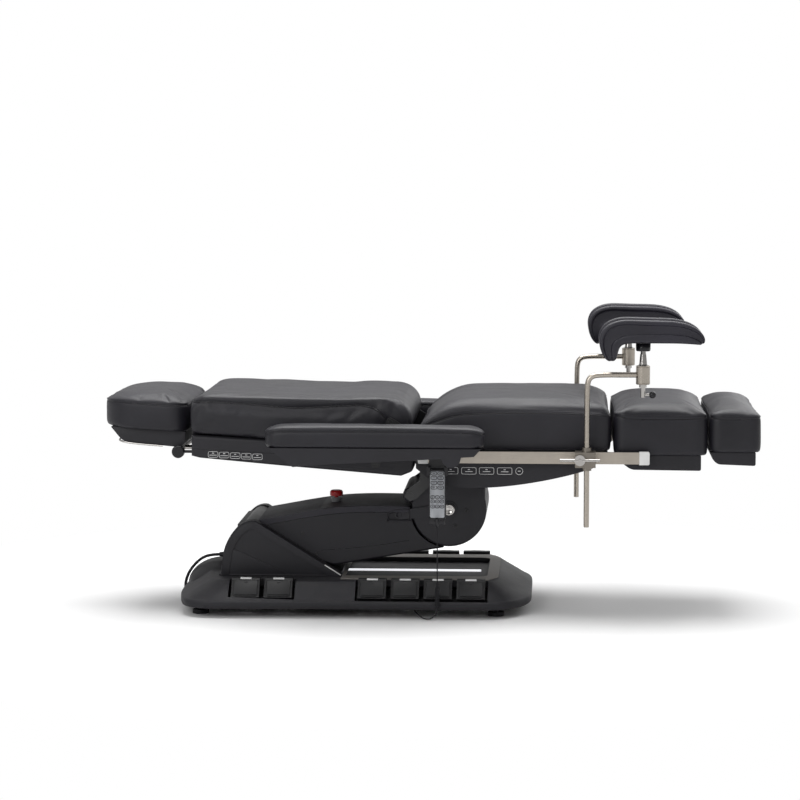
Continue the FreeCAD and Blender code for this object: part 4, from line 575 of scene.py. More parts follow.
def through(*knots):
    """A smooth height along X that passes through the given (x, z) points."""
    slopes = []
    for index in range(len(knots)):
        (x0, z0), (x1, z1) = knots[max(0, index - 1)], knots[min(len(knots) - 1, index + 1)]
        slopes.append((z1 - z0) / (x1 - x0))

    def height(x):
        if x <= knots[0][0]:
            return knots[0][1]
        for (x0, z0), (x1, z1), m0, m1 in zip(knots, knots[1:], slopes, slopes[1:]):
            if x <= x1:
                run = x1 - x0
                s = (x - x0) / run
                start = (1 + 2 * s) * (1 - s) ** 2 * z0 + s * (1 - s) ** 2 * run * m0
                return start + s * s * (3 - 2 * s) * z1 + s * s * (s - 1) * run * m1
        return knots[-1][1]

    return height


SIDE_STEPS = 26
CORNER_STEPS = 7


def rounded_plan(low, high, half, middle, corners):
    """Points of a rounded rectangle, anticlockwise from above; corners are its radii at the two ends."""
    points = []
    spots = (
        (high, middle + half, 0, corners[1], (-1, -1)),
        (low, middle + half, 90, corners[0], (1, -1)),
        (low, middle - half, 180, corners[0], (1, 1)),
        (high, middle - half, 270, corners[1], (-1, 1)),
    )
    for index, (x, y, start, radius, (sx, sy)) in enumerate(spots):
        radius = max(0.0015, min(radius, (high - low) / 2, half))
        for step in range(CORNER_STEPS + 1):
            angle = math.radians(start + 90 * step / CORNER_STEPS)
            points.append(
                (x + sx * radius + radius * math.cos(angle), y + sy * radius + radius * math.sin(angle))
            )
        after = spots[(index + 1) % 4]
        reach = max(0.0015, min(after[3], (high - low) / 2, half))
        first = points[-1]
        angle = math.radians(after[2])
        last = (
            after[0] + after[4][0] * reach + reach * math.cos(angle),
            after[1] + after[4][1] * reach + reach * math.sin(angle),
        )
        for step in range(1, SIDE_STEPS):
            share = step / SIDE_STEPS
            points.append((first[0] + (last[0] - first[0]) * share,
                           first[1] + (last[1] - first[1]) * share))
    return points


class Cut:
    """How a cushion is cut: its ends, width, heights along X, corner radii and shoulder runs."""

    def __init__(self, ends, half, top, seam, base, corners, shoulders, middle=0.0, crown=0.004,
                 waist=0.004):
        self.low, self.high = ends
        self.half = half
        self.middle = middle
        self.top, self.seam, self.base = top, seam, base
        self.corners = corners
        self.shoulders = shoulders
        self.crown = crown
        self.waist = waist

    def ring(self, inset, height):
        """One closed ring: inset gives how far each end and the sides stand in."""
        at_low, at_high, at_side = inset
        plan = rounded_plan(
            self.low + at_low,
            self.high - at_high,
            self.half - at_side,
            self.middle,
            (max(0.002, self.corners[0] - at_low * 0.5), max(0.002, self.corners[1] - at_high * 0.5)),
        )
        ring = []
        centre = (self.low + self.high) / 2
        for x, y in plan:
            along = max(-1.0, min(1.0, (x - centre) / (self.high - centre)))
            across = max(-1.0, min(1.0, (y - self.middle) / self.half))
            pull_x = self.waist * (1 - across * across) * along
            pull_y = self.waist * (1 - along * along) * across
            ring.append(Vector((x - pull_x, y - pull_y, height(x))))
        return ring


def cushion_rings(cut, seam_depth):
    """The rings of a cushion from its base to the middle of its top, and which of them the seam holds."""
    base, seam, top = cut.base, cut.seam, cut.top
    rings, held = [], []

    def put(inset, height, hold=False):
        if hold:
            held.append(len(rings))
        rings.append(cut.ring(inset, height))

    put((0.030,) * 3, lambda x: base(x), True)
    put((0.008,) * 3, lambda x: base(x), True)
    put((0.0035,) * 3, lambda x: base(x) + 0.002, True)
    put((0.001,) * 3, lambda x: base(x) + 0.008, True)
    for share in (0.2, 0.36, 0.52, 0.68, 0.84):
        put((0.0,) * 3, lambda x, s=share: base(x) + (seam(x) - base(x)) * s)
    put((0.0006,) * 3, lambda x: seam(x) - 0.006)
    put((0.001,) * 3, lambda x: seam(x) - 0.0022, True)
    put((seam_depth + 0.001,) * 3, lambda x: seam(x), True)
    put((0.0012,) * 3, lambda x: seam(x) + 0.0022, True)
    steps = 8
    for step in range(1, steps + 1):
        angle = math.pi / 2 * step / steps
        run = (1 - math.cos(angle)) ** 1.25
        inset = tuple(0.0012 + s * run for s in cut.shoulders)
        rise = math.sin(angle) ** 0.85
        put(inset, lambda x, r=rise: seam(x) + 0.0025 + (top(x) - cut.crown - seam(x) - 0.0025) * r)
    ends = (cut.shoulders[0] + cut.shoulders[1] + 0.003) / 2
    room_x = (cut.high - cut.low) / 2 - ends
    room_y = cut.half - cut.shoulders[2]
    for share in (0.12, 0.3, 0.5, 0.7, 0.86, 0.95):
        inset = (
            cut.shoulders[0] + room_x * share,
            cut.shoulders[1] + room_x * share,
            cut.shoulders[2] + room_y * share,
        )
        put(inset, lambda x, s=share: top(x) - cut.crown * (1 - s) ** 2)
    return rings, held


def ring_mesh(name, rings):
    """A closed mesh of stacked rings, with a ladder of faces across each end."""
    count = len(rings[0])
    points = [p for ring in rings for p in ring]
    faces = []
    for level in range(len(rings) - 1):
        low, high = level * count, (level + 1) * count
        for step in range(count):
            after = (step + 1) % count
            faces.append((low + step, low + after, high + after, high + step))
    last = (len(rings) - 1) * count
    for step in range(count // 2 - 1):
        near, far = (step, step + 1), (count - 2 - step, count - 1 - step)
        faces.append((near[0], far[1], far[0], near[1]))
        faces.append((last + near[0], last + near[1], last + far[0], last + far[1]))
    mesh = bpy.data.meshes.new(name)
    mesh.from_pydata([tuple(p) for p in points], [], faces)
    return new_object(name, mesh)


def puff(piece, held_points, pressure, most, stiffness=12.0):
    """Blows the cover up against its seams with cloth under pressure, and keeps each point near its cut."""
    group = piece.vertex_groups.new(name="held")
    group.add(held_points, 1.0, "REPLACE")
    before = [v.co.copy() for v in piece.data.vertices]
    cloth = piece.modifiers.new("cover", "CLOTH")
    cloth.settings.quality = 4
    cloth.settings.mass = 0.4
    cloth.settings.tension_stiffness = stiffness
    cloth.settings.compression_stiffness = stiffness
    cloth.settings.shear_stiffness = stiffness / 2
    cloth.settings.bending_stiffness = 1.5
    cloth.settings.use_pressure = True
    cloth.settings.uniform_pressure_force = pressure
    cloth.settings.vertex_group_mass = "held"
    cloth.settings.effector_weights.gravity = 0.0
    cloth.collision_settings.use_collision = False
    cloth.point_cache.frame_start = 1
    cloth.point_cache.frame_end = 20
    scene = bpy.context.scene
    for number in range(1, 21):
        scene.frame_set(number)
    graph = bpy.context.evaluated_depsgraph_get()
    moved = [v.co.copy() for v in piece.evaluated_get(graph).data.vertices]
    piece.modifiers.remove(cloth)
    piece.vertex_groups.remove(group)
    for vertex, start, end in zip(piece.data.vertices, before, moved):
        step = end - start
        if step.length > most:
            step = step.normalized() * most
        vertex.co = start + step
    scene.frame_set(1)


def wrinkle(piece, seed, amount, size, keep_below):
    """Small soft unevenness of stuffed leather, fading out towards the base."""
    offset = Vector((seed * 3.7, seed * 1.3, seed * 2.1))
    normals = [v.normal.copy() for v in piece.data.vertices]
    for vertex, normal in zip(piece.data.vertices, normals):
        fade = max(0.0, min(1.0, (vertex.co.z - keep_below) / 0.03))
        vertex.co += normal * (noise.noise(vertex.co / size + offset) * amount * fade)


def sew(name, points, body, inside, step=0.0062, closed=True):
    """One row of stitches along a line on the leather, laid by geometry nodes."""
    data = bpy.data.curves.new(name, "CURVE")
    data.dimensions = "3D"
    line = data.splines.new("POLY")
    line.points.add(len(points) - 1)
    for target, point in zip(line.points, points):
        target.co = (*point, 1.0)
    line.use_cyclic_u = closed
    row = new_object(name, data)
    modifier = row.modifiers.new("stitches", "NODES")
    modifier.node_group = stitch_tree()
    sizes = bpy.context.scene.table_sizes
    for socket, value in (("Pitch", step), ("Stitch", sizes.stitch), ("Thread", 0.0007)):
        modifier[socket_key(modifier.node_group, socket)] = value
    modifier[socket_key(modifier.node_group, "Finish")] = FINISHES[inside]
    row = plain_mesh(row)
    return settle(row, inside, body)


def socket_key(tree, name):
    """What the tree calls its input of that name."""
    inputs = (i for i in tree.interface.items_tree if i.in_out == "INPUT")
    return next(i.identifier for i in inputs if i.name == name)


TREES = {}


def stitch_tree():
    """Short slanting stitches set along a curve."""
    if "stitches" in TREES:
        return TREES["stitches"]
    tree = bpy.data.node_groups.new("Stitch row", "GeometryNodeTree")
    face = tree.interface
    face.new_socket("Geometry", in_out="INPUT", socket_type="NodeSocketGeometry")
    for label in ("Pitch", "Stitch", "Thread"):
        face.new_socket(label, in_out="INPUT", socket_type="NodeSocketFloat")
    face.new_socket("Finish", in_out="INPUT", socket_type="NodeSocketMaterial")
    face.new_socket("Geometry", in_out="OUTPUT", socket_type="NodeSocketGeometry")
    given = tree.nodes.new("NodeGroupInput").outputs
    spots = tree.nodes.new("GeometryNodeCurveToPoints")
    spots.mode = "LENGTH"
    tree.links.new(given["Geometry"], spots.inputs["Curve"])
    tree.links.new(given["Pitch"], spots.inputs["Length"])
    thread = tree.nodes.new("GeometryNodeMeshCylinder")
    thread.inputs["Vertices"].default_value = 6
    tree.links.new(given["Thread"], thread.inputs["Radius"])
    tree.links.new(given["Stitch"], thread.inputs["Depth"])
    laid = tree.nodes.new("GeometryNodeInstanceOnPoints")
    tree.links.new(spots.outputs["Points"], laid.inputs["Points"])
    tree.links.new(thread.outputs["Mesh"], laid.inputs["Instance"])
    turn = tree.nodes.new("FunctionNodeAlignRotationToVector")
    turn.axis = "Z"
    tree.links.new(spots.outputs["Tangent"], turn.inputs["Vector"])
    tree.links.new(turn.outputs["Rotation"], laid.inputs["Rotation"])
    real = tree.nodes.new("GeometryNodeRealizeInstances")
    tree.links.new(laid.outputs["Instances"], real.inputs["Geometry"])
    dressed = tree.nodes.new("GeometryNodeSetMaterial")
    tree.links.new(real.outputs["Geometry"], dressed.inputs["Geometry"])
    tree.links.new(given["Finish"], dressed.inputs["Material"])
    out = tree.nodes.new("NodeGroupOutput")
    tree.links.new(dressed.outputs["Geometry"], out.inputs["Geometry"])
    TREES["stitches"] = tree
    return tree


def upholster(name, node, body, cut, seed, pressure=3.0, most=0.007, finish="leather"):
    """Makes one cushion from its cut: the cover under pressure, soft unevenness, and a row of stitches."""
    depth = bpy.context.scene.table_sizes.seam_depth
    rings, held = cushion_rings(cut, depth)
    count = len(rings[0])
    piece = ring_mesh(name, rings)
    puff(piece, [r * count + i for r in held for i in range(count)], pressure, most)
    lowest = min(cut.base(cut.low), cut.base(cut.high))
    wrinkle(piece, seed, 0.0016, 0.07, lowest + 0.02)
    seam_ring = held[-2] * count
    normals = [v.normal.copy() for v in piece.data.vertices]
    stitched = (held[-1] + 1) * count
    line = [piece.data.vertices[stitched + i].co + normals[stitched + i] * 0.0004 for i in range(count)]
    piece.modifiers.new("smooth", "SUBSURF").levels = 1
    piece.modifiers["smooth"].render_levels = 1
    piece = plain_mesh(piece)
    settle(piece, finish, body)
    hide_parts(node)
    welt = [piece.data.vertices[seam_ring + i].co.copy() for i in range(count)]
    sew(name + "_stitches", line, body, finish)
    settle(loop(name + "_seam", welt, 0.0013), "black", body)
    return piece


def level(height):
    """The same height all along X."""
    return lambda x: height


class EXAMTABLE_OT_seat(bpy.types.Operator):
    """Builds the seat cushion and the shell under it"""

    bl_idname = "examtable.seat"
    bl_label = "Seat cushion"

    def execute(self, context):
        cut = Cut(
            ends=(-0.030, 0.537),
            half=0.300,
            top=through((-0.030, 0.573), (0.000, 0.604), (0.040, 0.631), (0.090, 0.644), (0.16, 0.647),
                        (0.48, 0.647), (0.537, 0.639)),
            seam=through((-0.030, 0.561), (0.02, 0.580), (0.08, 0.598), (0.16, 0.606), (0.42, 0.607),
                         (0.537, 0.600)),
            base=level(0.4972),
            corners=(0.020, 0.030),
            shoulders=(0.020, 0.036, 0.056),
        )
        upholster("seat_pad", "seat_cushion", "seat", cut, 1)
        belly = smooth_line([(-0.038, 0.4420), (-0.012, 0.4200), (0.020, 0.3960), (0.070, 0.3860),
                             (0.150, 0.3835),
                             (0.240, 0.3900), (0.340, 0.4060), (0.430, 0.4270), (0.487, 0.4460)], 2)
        outline = [(0.487, 0.4637), (-0.038, 0.4637)] + belly
        shell = prism("seat_shell", outline, -SHROUD_HALF, SHROUD_HALF, 0.009, 5)
        settle(shell, "shroud", "seat")
        crisp(shell)
        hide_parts("seat_shroud")
        for name, side in SIDES:
            # A grey line along the shell's rounded lower rim: a painted highlight on the rim.
            rim = [(x, side * 0.2838, z + 0.0065) for x, z in belly[8:]]
            settle(loop("seat_shell_rim_highlight_" + name, rim, 0.0008, False), "grey", "seat")
        return {"FINISHED"}


class EXAMTABLE_OT_leg_and_foot(bpy.types.Operator):
    """Builds the leg and the foot cushion with the shells under them"""

    bl_idname = "examtable.leg_and_foot"
    bl_label = "Leg and foot cushions"

    def execute(self, context):
        leg = Cut(
            ends=(0.543, 0.821),
            half=0.300,
            top=through((0.543, 0.622), (0.60, 0.633), (0.76, 0.633), (0.821, 0.622)),
            seam=through((0.543, 0.601), (0.61, 0.592), (0.76, 0.592), (0.821, 0.598)),
            base=level(0.4842),
            corners=(0.034, 0.034),
            shoulders=(0.032, 0.032, 0.054),
        )
        upholster("leg_pad", "leg_cushion", "leg", leg, 2)
        foot = Cut(
            ends=(0.825, 0.977),
            half=0.300,
            top=through((0.825, 0.620), (0.87, 0.628), (0.91, 0.628), (0.977, 0.616)),
            seam=through((0.825, 0.596), (0.88, 0.592), (0.977, 0.594)),
            base=level(0.4942),
            corners=(0.034, 0.034),
            shoulders=(0.030, 0.044, 0.052),
        )
        upholster("foot_pad", "foot_cushion", "foot", foot, 3)
        self.shell("leg", [(0.556, 0.4838), (0.568, 0.4620), (0.596, 0.4415), (0.801, 0.4395),
                           (0.801, 0.4838)])
        self.shell("foot", [(0.830, 0.4938), (0.831, 0.4780), (0.848, 0.4590), (0.9605, 0.4550),
                            (0.9605, 0.4938)])
        return {"FINISHED"}

    def shell(self, name, outline):
        """The moulded shell under a cushion."""
        plan = [(p.x, p.y) for p in softened(outline, [0.002, 0.012, 0.012, 0.006, 0.002], 5, 3)]
        made = prism(name + "_shell", plan, -SHROUD_HALF, SHROUD_HALF, 0.006, 4)
        settle(made, "shroud", name)
        crisp(made)
        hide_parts(name + "_shroud")


class EXAMTABLE_OT_head(bpy.types.Operator):
    """Builds the head cushion, the plug of its face opening, the shell under it and the hook bar"""

    bl_idname = "examtable.head"
    bl_label = "Head cushion"

    def execute(self, context):
        cut = Cut(
            ends=(-0.977, -0.722),
            half=0.240,
            top=through((-0.977, 0.641), (-0.93, 0.650), (-0.80, 0.651), (-0.722, 0.644)),
            seam=through((-0.977, 0.630), (-0.90, 0.626), (-0.80, 0.619), (-0.722, 0.617)),
            base=lambda x: 0.5392 - 0.066 * (x + 0.722),
            corners=(0.090, 0.050),
            shoulders=(0.034, 0.026, 0.040),
            waist=-0.002,
        )
        upholster("head_pad", "head_cushion", "headrest", cut, 4)
        profile = [(0, 0.0455), (0.064, 0.0455), (0.074, 0.0448), (0.080, 0.0425), (0.0825, 0.038),
                   (0.080, 0.020), (0, 0.020)]
        plug = turned("face_plug", (-0.864, 0, 0.6075), "Z", [(r, z) for r, z in profile], 56)
        settle(plug, "leather", "headrest")
        outline = [(-0.958, 0.5535), (-0.921, 0.5085), (-0.750, 0.4915), (-0.735, 0.500),
                   (-0.733, 0.5385)]
        outline = [(p.x, p.y) for p in softened(outline, [0.004, 0.016, 0.008, 0.008, 0.002], 5, 3)]
        shell = prism("head_shell", outline, -0.2095, 0.2095, 0.010, 5)
        settle(shell, "shroud", "headrest")
        crisp(shell)
        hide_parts("head_shroud")
        near, far = -0.2140, 0.2140
        route = [(-0.800, near, 0.4960), (-0.860, near, 0.5000), (-0.912, near, 0.5060),
                 (-0.930, near * 0.96, 0.5100),
                 (-0.936, near * 0.85, 0.5120), (-0.936, 0.0, 0.5120), (-0.936, far * 0.85, 0.5120),
                 (-0.930, far * 0.96, 0.5100), (-0.912, far, 0.5060), (-0.860, far, 0.5000),
                 (-0.800, far, 0.4960)]
        bar = plain_mesh(spline("hook_bar", route, 0.0030))
        settle(bar, "chrome", "headrest")
        return {"FINISHED"}


class EXAMTABLE_OT_armrests(bpy.types.Operator):
    """Builds the pads of the two armrests"""

    bl_idname = "examtable.armrests"
    bl_label = "Armrest pads"

    def execute(self, context):
        for name, side in SIDES:
            cut = Cut(
                ends=(-0.472, 0.169),
                half=0.048,
                top=through((-0.472, 0.574), (-0.42, 0.584), (0.12, 0.582), (0.169, 0.572)),
                seam=through((-0.472, 0.560), (-0.40, 0.565), (0.12, 0.564), (0.169, 0.557)),
                base=level(0.5182),
                corners=(0.040, 0.040),
                shoulders=(0.020, 0.024, 0.020),
                middle=side * 0.410,
                crown=0.002,
                waist=0.0015,
            )
            upholster("armrest_cushion_" + name, "armrest_pad_" + name, "armrest_" + name, cut,
                      5 + side, most=0.003)
        return {"FINISHED"}


def prism(name, outline, low, high, rounding, steps=5):
    """A body with the same side outline all across, its side edges rounded."""
    work = bmesh.new()
    first = [work.verts.new((x, low, z)) for x, z in outline]
    second = [work.verts.new((x, high, z)) for x, z in outline]
    count = len(outline)
    work.faces.new(first)
    work.faces.new(list(reversed(second)))
    for step in range(count):
        after = (step + 1) % count
        work.faces.new((first[step], second[step], second[after], first[after]))
    rim = [e for e in work.edges if abs(e.verts[0].co.y - e.verts[1].co.y) < 1e-6]
    bmesh.ops.bevel(work, geom=rim, offset=rounding, segments=steps, profile=0.5, affect="EDGES",
                    clamp_overlap=True)
    return finished(name, work)


def arc(centre, radius, start, end, steps):
    """Points of an arc in the side view, angles in degrees from X towards Z."""
    angles = [math.radians(start + (end - start) * i / steps) for i in range(steps + 1)]
    return [(centre[0] + radius * math.cos(a), centre[1] + radius * math.sin(a)) for a in angles]


def remeshed(piece, voxel, smoothing=6):
    """The same body as an even mesh of small faces."""
    remesh = piece.modifiers.new("even", "REMESH")
    remesh.mode = "VOXEL"
    remesh.voxel_size = voxel
    soften = piece.modifiers.new("soften", "SMOOTH")
    soften.iterations = smoothing
    soften.factor = 0.5
    return plain_mesh(piece)


def drape_line(piece, points, side, spacing=0.004):
    """Points on the piece's surface under a side-view line, seen from one side."""
    tree = BVHTree.FromObject(piece, bpy.context.evaluated_depsgraph_get())
    dense = []
    for (x0, z0), (x1, z1) in zip(points, points[1:]):
        steps = max(1, round(math.dist((x0, z0), (x1, z1)) / spacing))
        dense += [(x0 + (x1 - x0) * i / steps, z0 + (z1 - z0) * i / steps) for i in range(steps)]
    dense.append(points[-1])
    found = []
    for x, z in dense:
        spot, normal, _, _ = tree.ray_cast(Vector((x, side * 2.0, z)), Vector((0, -side, 0)))
        if spot:
            found.append((spot, normal))
    return found


def smooth_line(points, rounds=3):
    """A line with its corners cut, a few times over."""
    for _ in range(rounds):
        cut = [points[0]]
        for a, b in zip(points, points[1:]):
            cut.append((a[0] * 0.75 + b[0] * 0.25, a[1] * 0.75 + b[1] * 0.25))
            cut.append((a[0] * 0.25 + b[0] * 0.75, a[1] * 0.25 + b[1] * 0.75))
        points = cut + [points[-1]]
    return points


def press_seam(piece, line, depth, width):
    """Sinks the surface along a line of points."""
    tree = KDTree(len(line))
    for index, (spot, _) in enumerate(line):
        tree.insert(spot, index)
    tree.balance()
    normals = [v.normal.copy() for v in piece.data.vertices]
    for vertex, normal in zip(piece.data.vertices, normals):
        _, _, distance = tree.find(vertex.co)
        if distance < width * 3:
            vertex.co -= normal * depth * math.exp(-((distance / width) ** 2))


BACK_SEAM = [
    (-0.712, 0.634), (-0.652, 0.6366), (-0.5525, 0.6316), (-0.508, 0.6278), (-0.410, 0.6192),
    (-0.336, 0.6213), (-0.2626, 0.6263), (-0.2035, 0.6292), (-0.1643, 0.6228), (-0.1395, 0.6057),
    (-0.120, 0.581), (-0.110, 0.556), (-0.105, 0.528), (-0.103, 0.508),
]


class EXAMTABLE_OT_back(bpy.types.Operator):
    """Builds the back cushion with its lumbar roll and the seam that curls round it"""

    bl_idname = "examtable.back"
    bl_label = "Back cushion"

    def execute(self, context):
        roll = (-0.112, 0.582)
        outline = [(-0.711, 0.5405), (-0.7105, 0.60)]
        outline += arc((-0.673, 0.617), 0.038, 180, 90, 6)
        outline += [(-0.60, 0.6562), (-0.48, 0.6548), (-0.36, 0.6505), (-0.26, 0.6485), (-0.19, 0.6505),
                    (-0.145, 0.6495)]
        outline += arc(roll, 0.0655, 85, -70, 12)
        outline += [(-0.132, 0.5046), (-0.322, 0.5225), (-0.52, 0.5315)]
        piece = prism("back_pad", outline, -0.299, 0.299, 0.030)
        piece = remeshed(piece, 0.009, 4)
        held = [
            v.index for v in piece.data.vertices
            if v.co.z < 0.512 + max(0.0, -0.30 - v.co.x) * 0.08
        ]
        puff(piece, held, 2.0, 0.004)
        wrinkle(piece, 9, 0.0016, 0.08, 0.56)
        piece.modifiers.new("smooth", "SUBSURF").levels = 1
        piece.modifiers["smooth"].render_levels = 1
        piece = plain_mesh(piece)
        depth = context.scene.table_sizes.seam_depth
        rows = []
        for _, side in SIDES:
            line = drape_line(piece, smooth_line(BACK_SEAM), side)
            press_seam(piece, line, depth * 1.3, 0.0045)
            above = drape_line(piece, smooth_line([(x + 0.001, z + 0.0055) for x, z in BACK_SEAM]),
                               side)
            row = [spot + normal * 0.0003 for spot, normal in above]
            rows.append((row, [spot - normal * 0.0016 for spot, normal in line]))
        settle(piece, "leather", "back")
        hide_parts("back_cushion")
        for (name, _), (row, groove) in zip(SIDES, rows):
            sew("back_stitches_" + name, row, "back", "leather", closed=False)
            settle(loop("back_seam_" + name, groove, 0.0015, False), "black", "back")
        return {"FINISHED"}


class EXAMTABLE_OT_knee_pads(bpy.types.Operator):
    """Builds the two moulded knee troughs with their rims, side recesses and sockets"""

    bl_idname = "examtable.knee_pads"
    bl_label = "Knee pads"

    def execute(self, context):
        for name, side in SIDES:
            shift = FAR_SHIFT if side > 0 else 0.0
            piece = self.trough("knee_trough_" + name, shift, side * SUPPORT_Y)
            settle(piece, "moulded_pad", "pad_" + name)
            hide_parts("knee_pad_" + name)
            socket = self.socket("knee_socket_" + name, SUPPORT_X + shift, side * SUPPORT_Y)
            settle(socket, "black", "pad_" + name)
        return {"FINISHED"}

    def trough(self, name, shift, middle):
        """Sections of a rimmed trough, swept from the hooked lip over the top to the drooping end."""
        stations = [
            # x and z of the underside, lean in degrees, height of the rim above it, half width
            (0.5395, 0.7695, 92, 0.010, 0.052), (0.5470, 0.7730, 92, 0.026, 0.062),
            (0.5515, 0.7850, 88, 0.043, 0.069), (0.5545, 0.8000, 80, 0.056, 0.073),
            (0.5590, 0.8120, 66, 0.070, 0.0745), (0.5680, 0.8190, 46, 0.080, 0.075),
            (0.5840, 0.8218, 24, 0.078, 0.075), (0.6050, 0.8222, 8, 0.0715, 0.075),
            (0.6350, 0.8222, 1, 0.0690, 0.075), (0.6800, 0.8222, 0, 0.0685, 0.075),
            (0.7150, 0.8222, -1, 0.0675, 0.075), (0.7420, 0.8215, -9, 0.0620, 0.075),
            (0.7620, 0.8205, -22, 0.0520, 0.0745), (0.7770, 0.8195, -38, 0.0370, 0.073),
            (0.7865, 0.8190, -56, 0.0220, 0.070), (0.7905, 0.8187, -75, 0.0090, 0.064),
        ]
        rings = []
        for x, z, lean, rise, half in stations:
            rings.append(self.section(Vector((x + shift, middle, z)), math.radians(lean), rise, half))
        piece = ring_mesh(name, rings)
        piece.modifiers.new("smooth", "SUBSURF").levels = 2
        piece.modifiers["smooth"].render_levels = 2
        return plain_mesh(piece)

    def section(self, place, lean, rise, half):
        """One closed section of the trough: out, up over the rim and back down inside."""
        share = min(1.0, rise / 0.068)
        floor = min(0.018, rise * 0.5)
        flat = half - 0.020
        side = [
            (flat, 0.0), (half - 0.007, 0.0025 * share), (half - 0.0025, 0.010 * share),
            (half - 0.0020, 0.022 * share), (half - 0.0028, 0.0255 * share),
            (half - 0.0075, 0.0275 * share), (half - 0.0078, 0.031 * share),
            (half - 0.0078, rise - 0.0185 * share), (half - 0.0068, rise - 0.0165 * share),
            (half - 0.0006, rise - 0.0140 * share), (half, rise - 0.0085 * share),
            (half - 0.0022, rise - 0.0024 * share), (half - 0.0090, rise),
            (half - 0.0150, rise - 0.0030 * share), (half - 0.0180, rise - 0.0100 * share),
            (half - 0.0195, floor + (rise - floor) * 0.45),
            (half - 0.0240, floor + (rise - floor) * 0.14),
            (half - 0.0330, floor + 0.0006),
        ]
        across = [(flat * 0.5, floor), (0.0, floor * 0.985), (-flat * 0.5, floor)]
        mirror = [(-y, h) for y, h in reversed(side)]
        under = [(-flat * 0.5, 0.0), (0.0, 0.0), (flat * 0.5, 0.0)]
        outline = side + across + mirror + under
        up = Vector((-math.sin(lean), 0, math.cos(lean)))
        return [place + Vector((0, y, 0)) + up * h for y, h in outline]

    def socket(self, name, x, middle):
        data = bmesh.new()
        rings = []
        for radius, z in ((0.0, 0.7965), (0.018, 0.7965), (0.0205, 0.798), (0.0215, 0.802),
                          (0.0215, 0.8225), (0.0, 0.8225)):
            ring = []
            for step in range(40):
                angle = math.tau * step / 40
                place = (x + radius * math.cos(angle), middle + radius * math.sin(angle), z)
                ring.append(data.verts.new(place))
            rings.append(ring)
        for low, high in zip(rings, rings[1:]):
            for i in range(40):
                j = (i + 1) % 40
                data.faces.new((low[i], low[j], high[j], high[i]))
        bmesh.ops.remove_doubles(data, verts=data.verts, dist=1e-6)
        return finished(name, data)


# Base


BASE_PLAN = [
    (-0.717, -0.364), (-0.300, -0.350), (0.234, -0.350), (0.304, -0.220), (0.304, 0.220),
    (0.234, 0.350), (-0.300, 0.350), (-0.717, 0.364), (-0.757, 0.190), (-0.757, -0.190),
]
DECK_PLAN = [
    (-0.627, -0.304), (-0.300, -0.296), (0.165, -0.296), (0.209, -0.226), (0.209, 0.226),
    (0.165, 0.296), (-0.300, 0.296), (-0.627, 0.304), (-0.675, 0.186), (-0.675, -0.186),
]
BASE_REACH = [0.095, 0.16, 0.085, 0.085, 0.085, 0.085, 0.16, 0.095, 0.11, 0.11]
DECK = 0.104
PEDAL_BANKS = (("left", -0.584, 2), ("right", -0.208, 4))
PEDAL_PITCH = 0.0975
PEDAL_WIDTH = 0.084


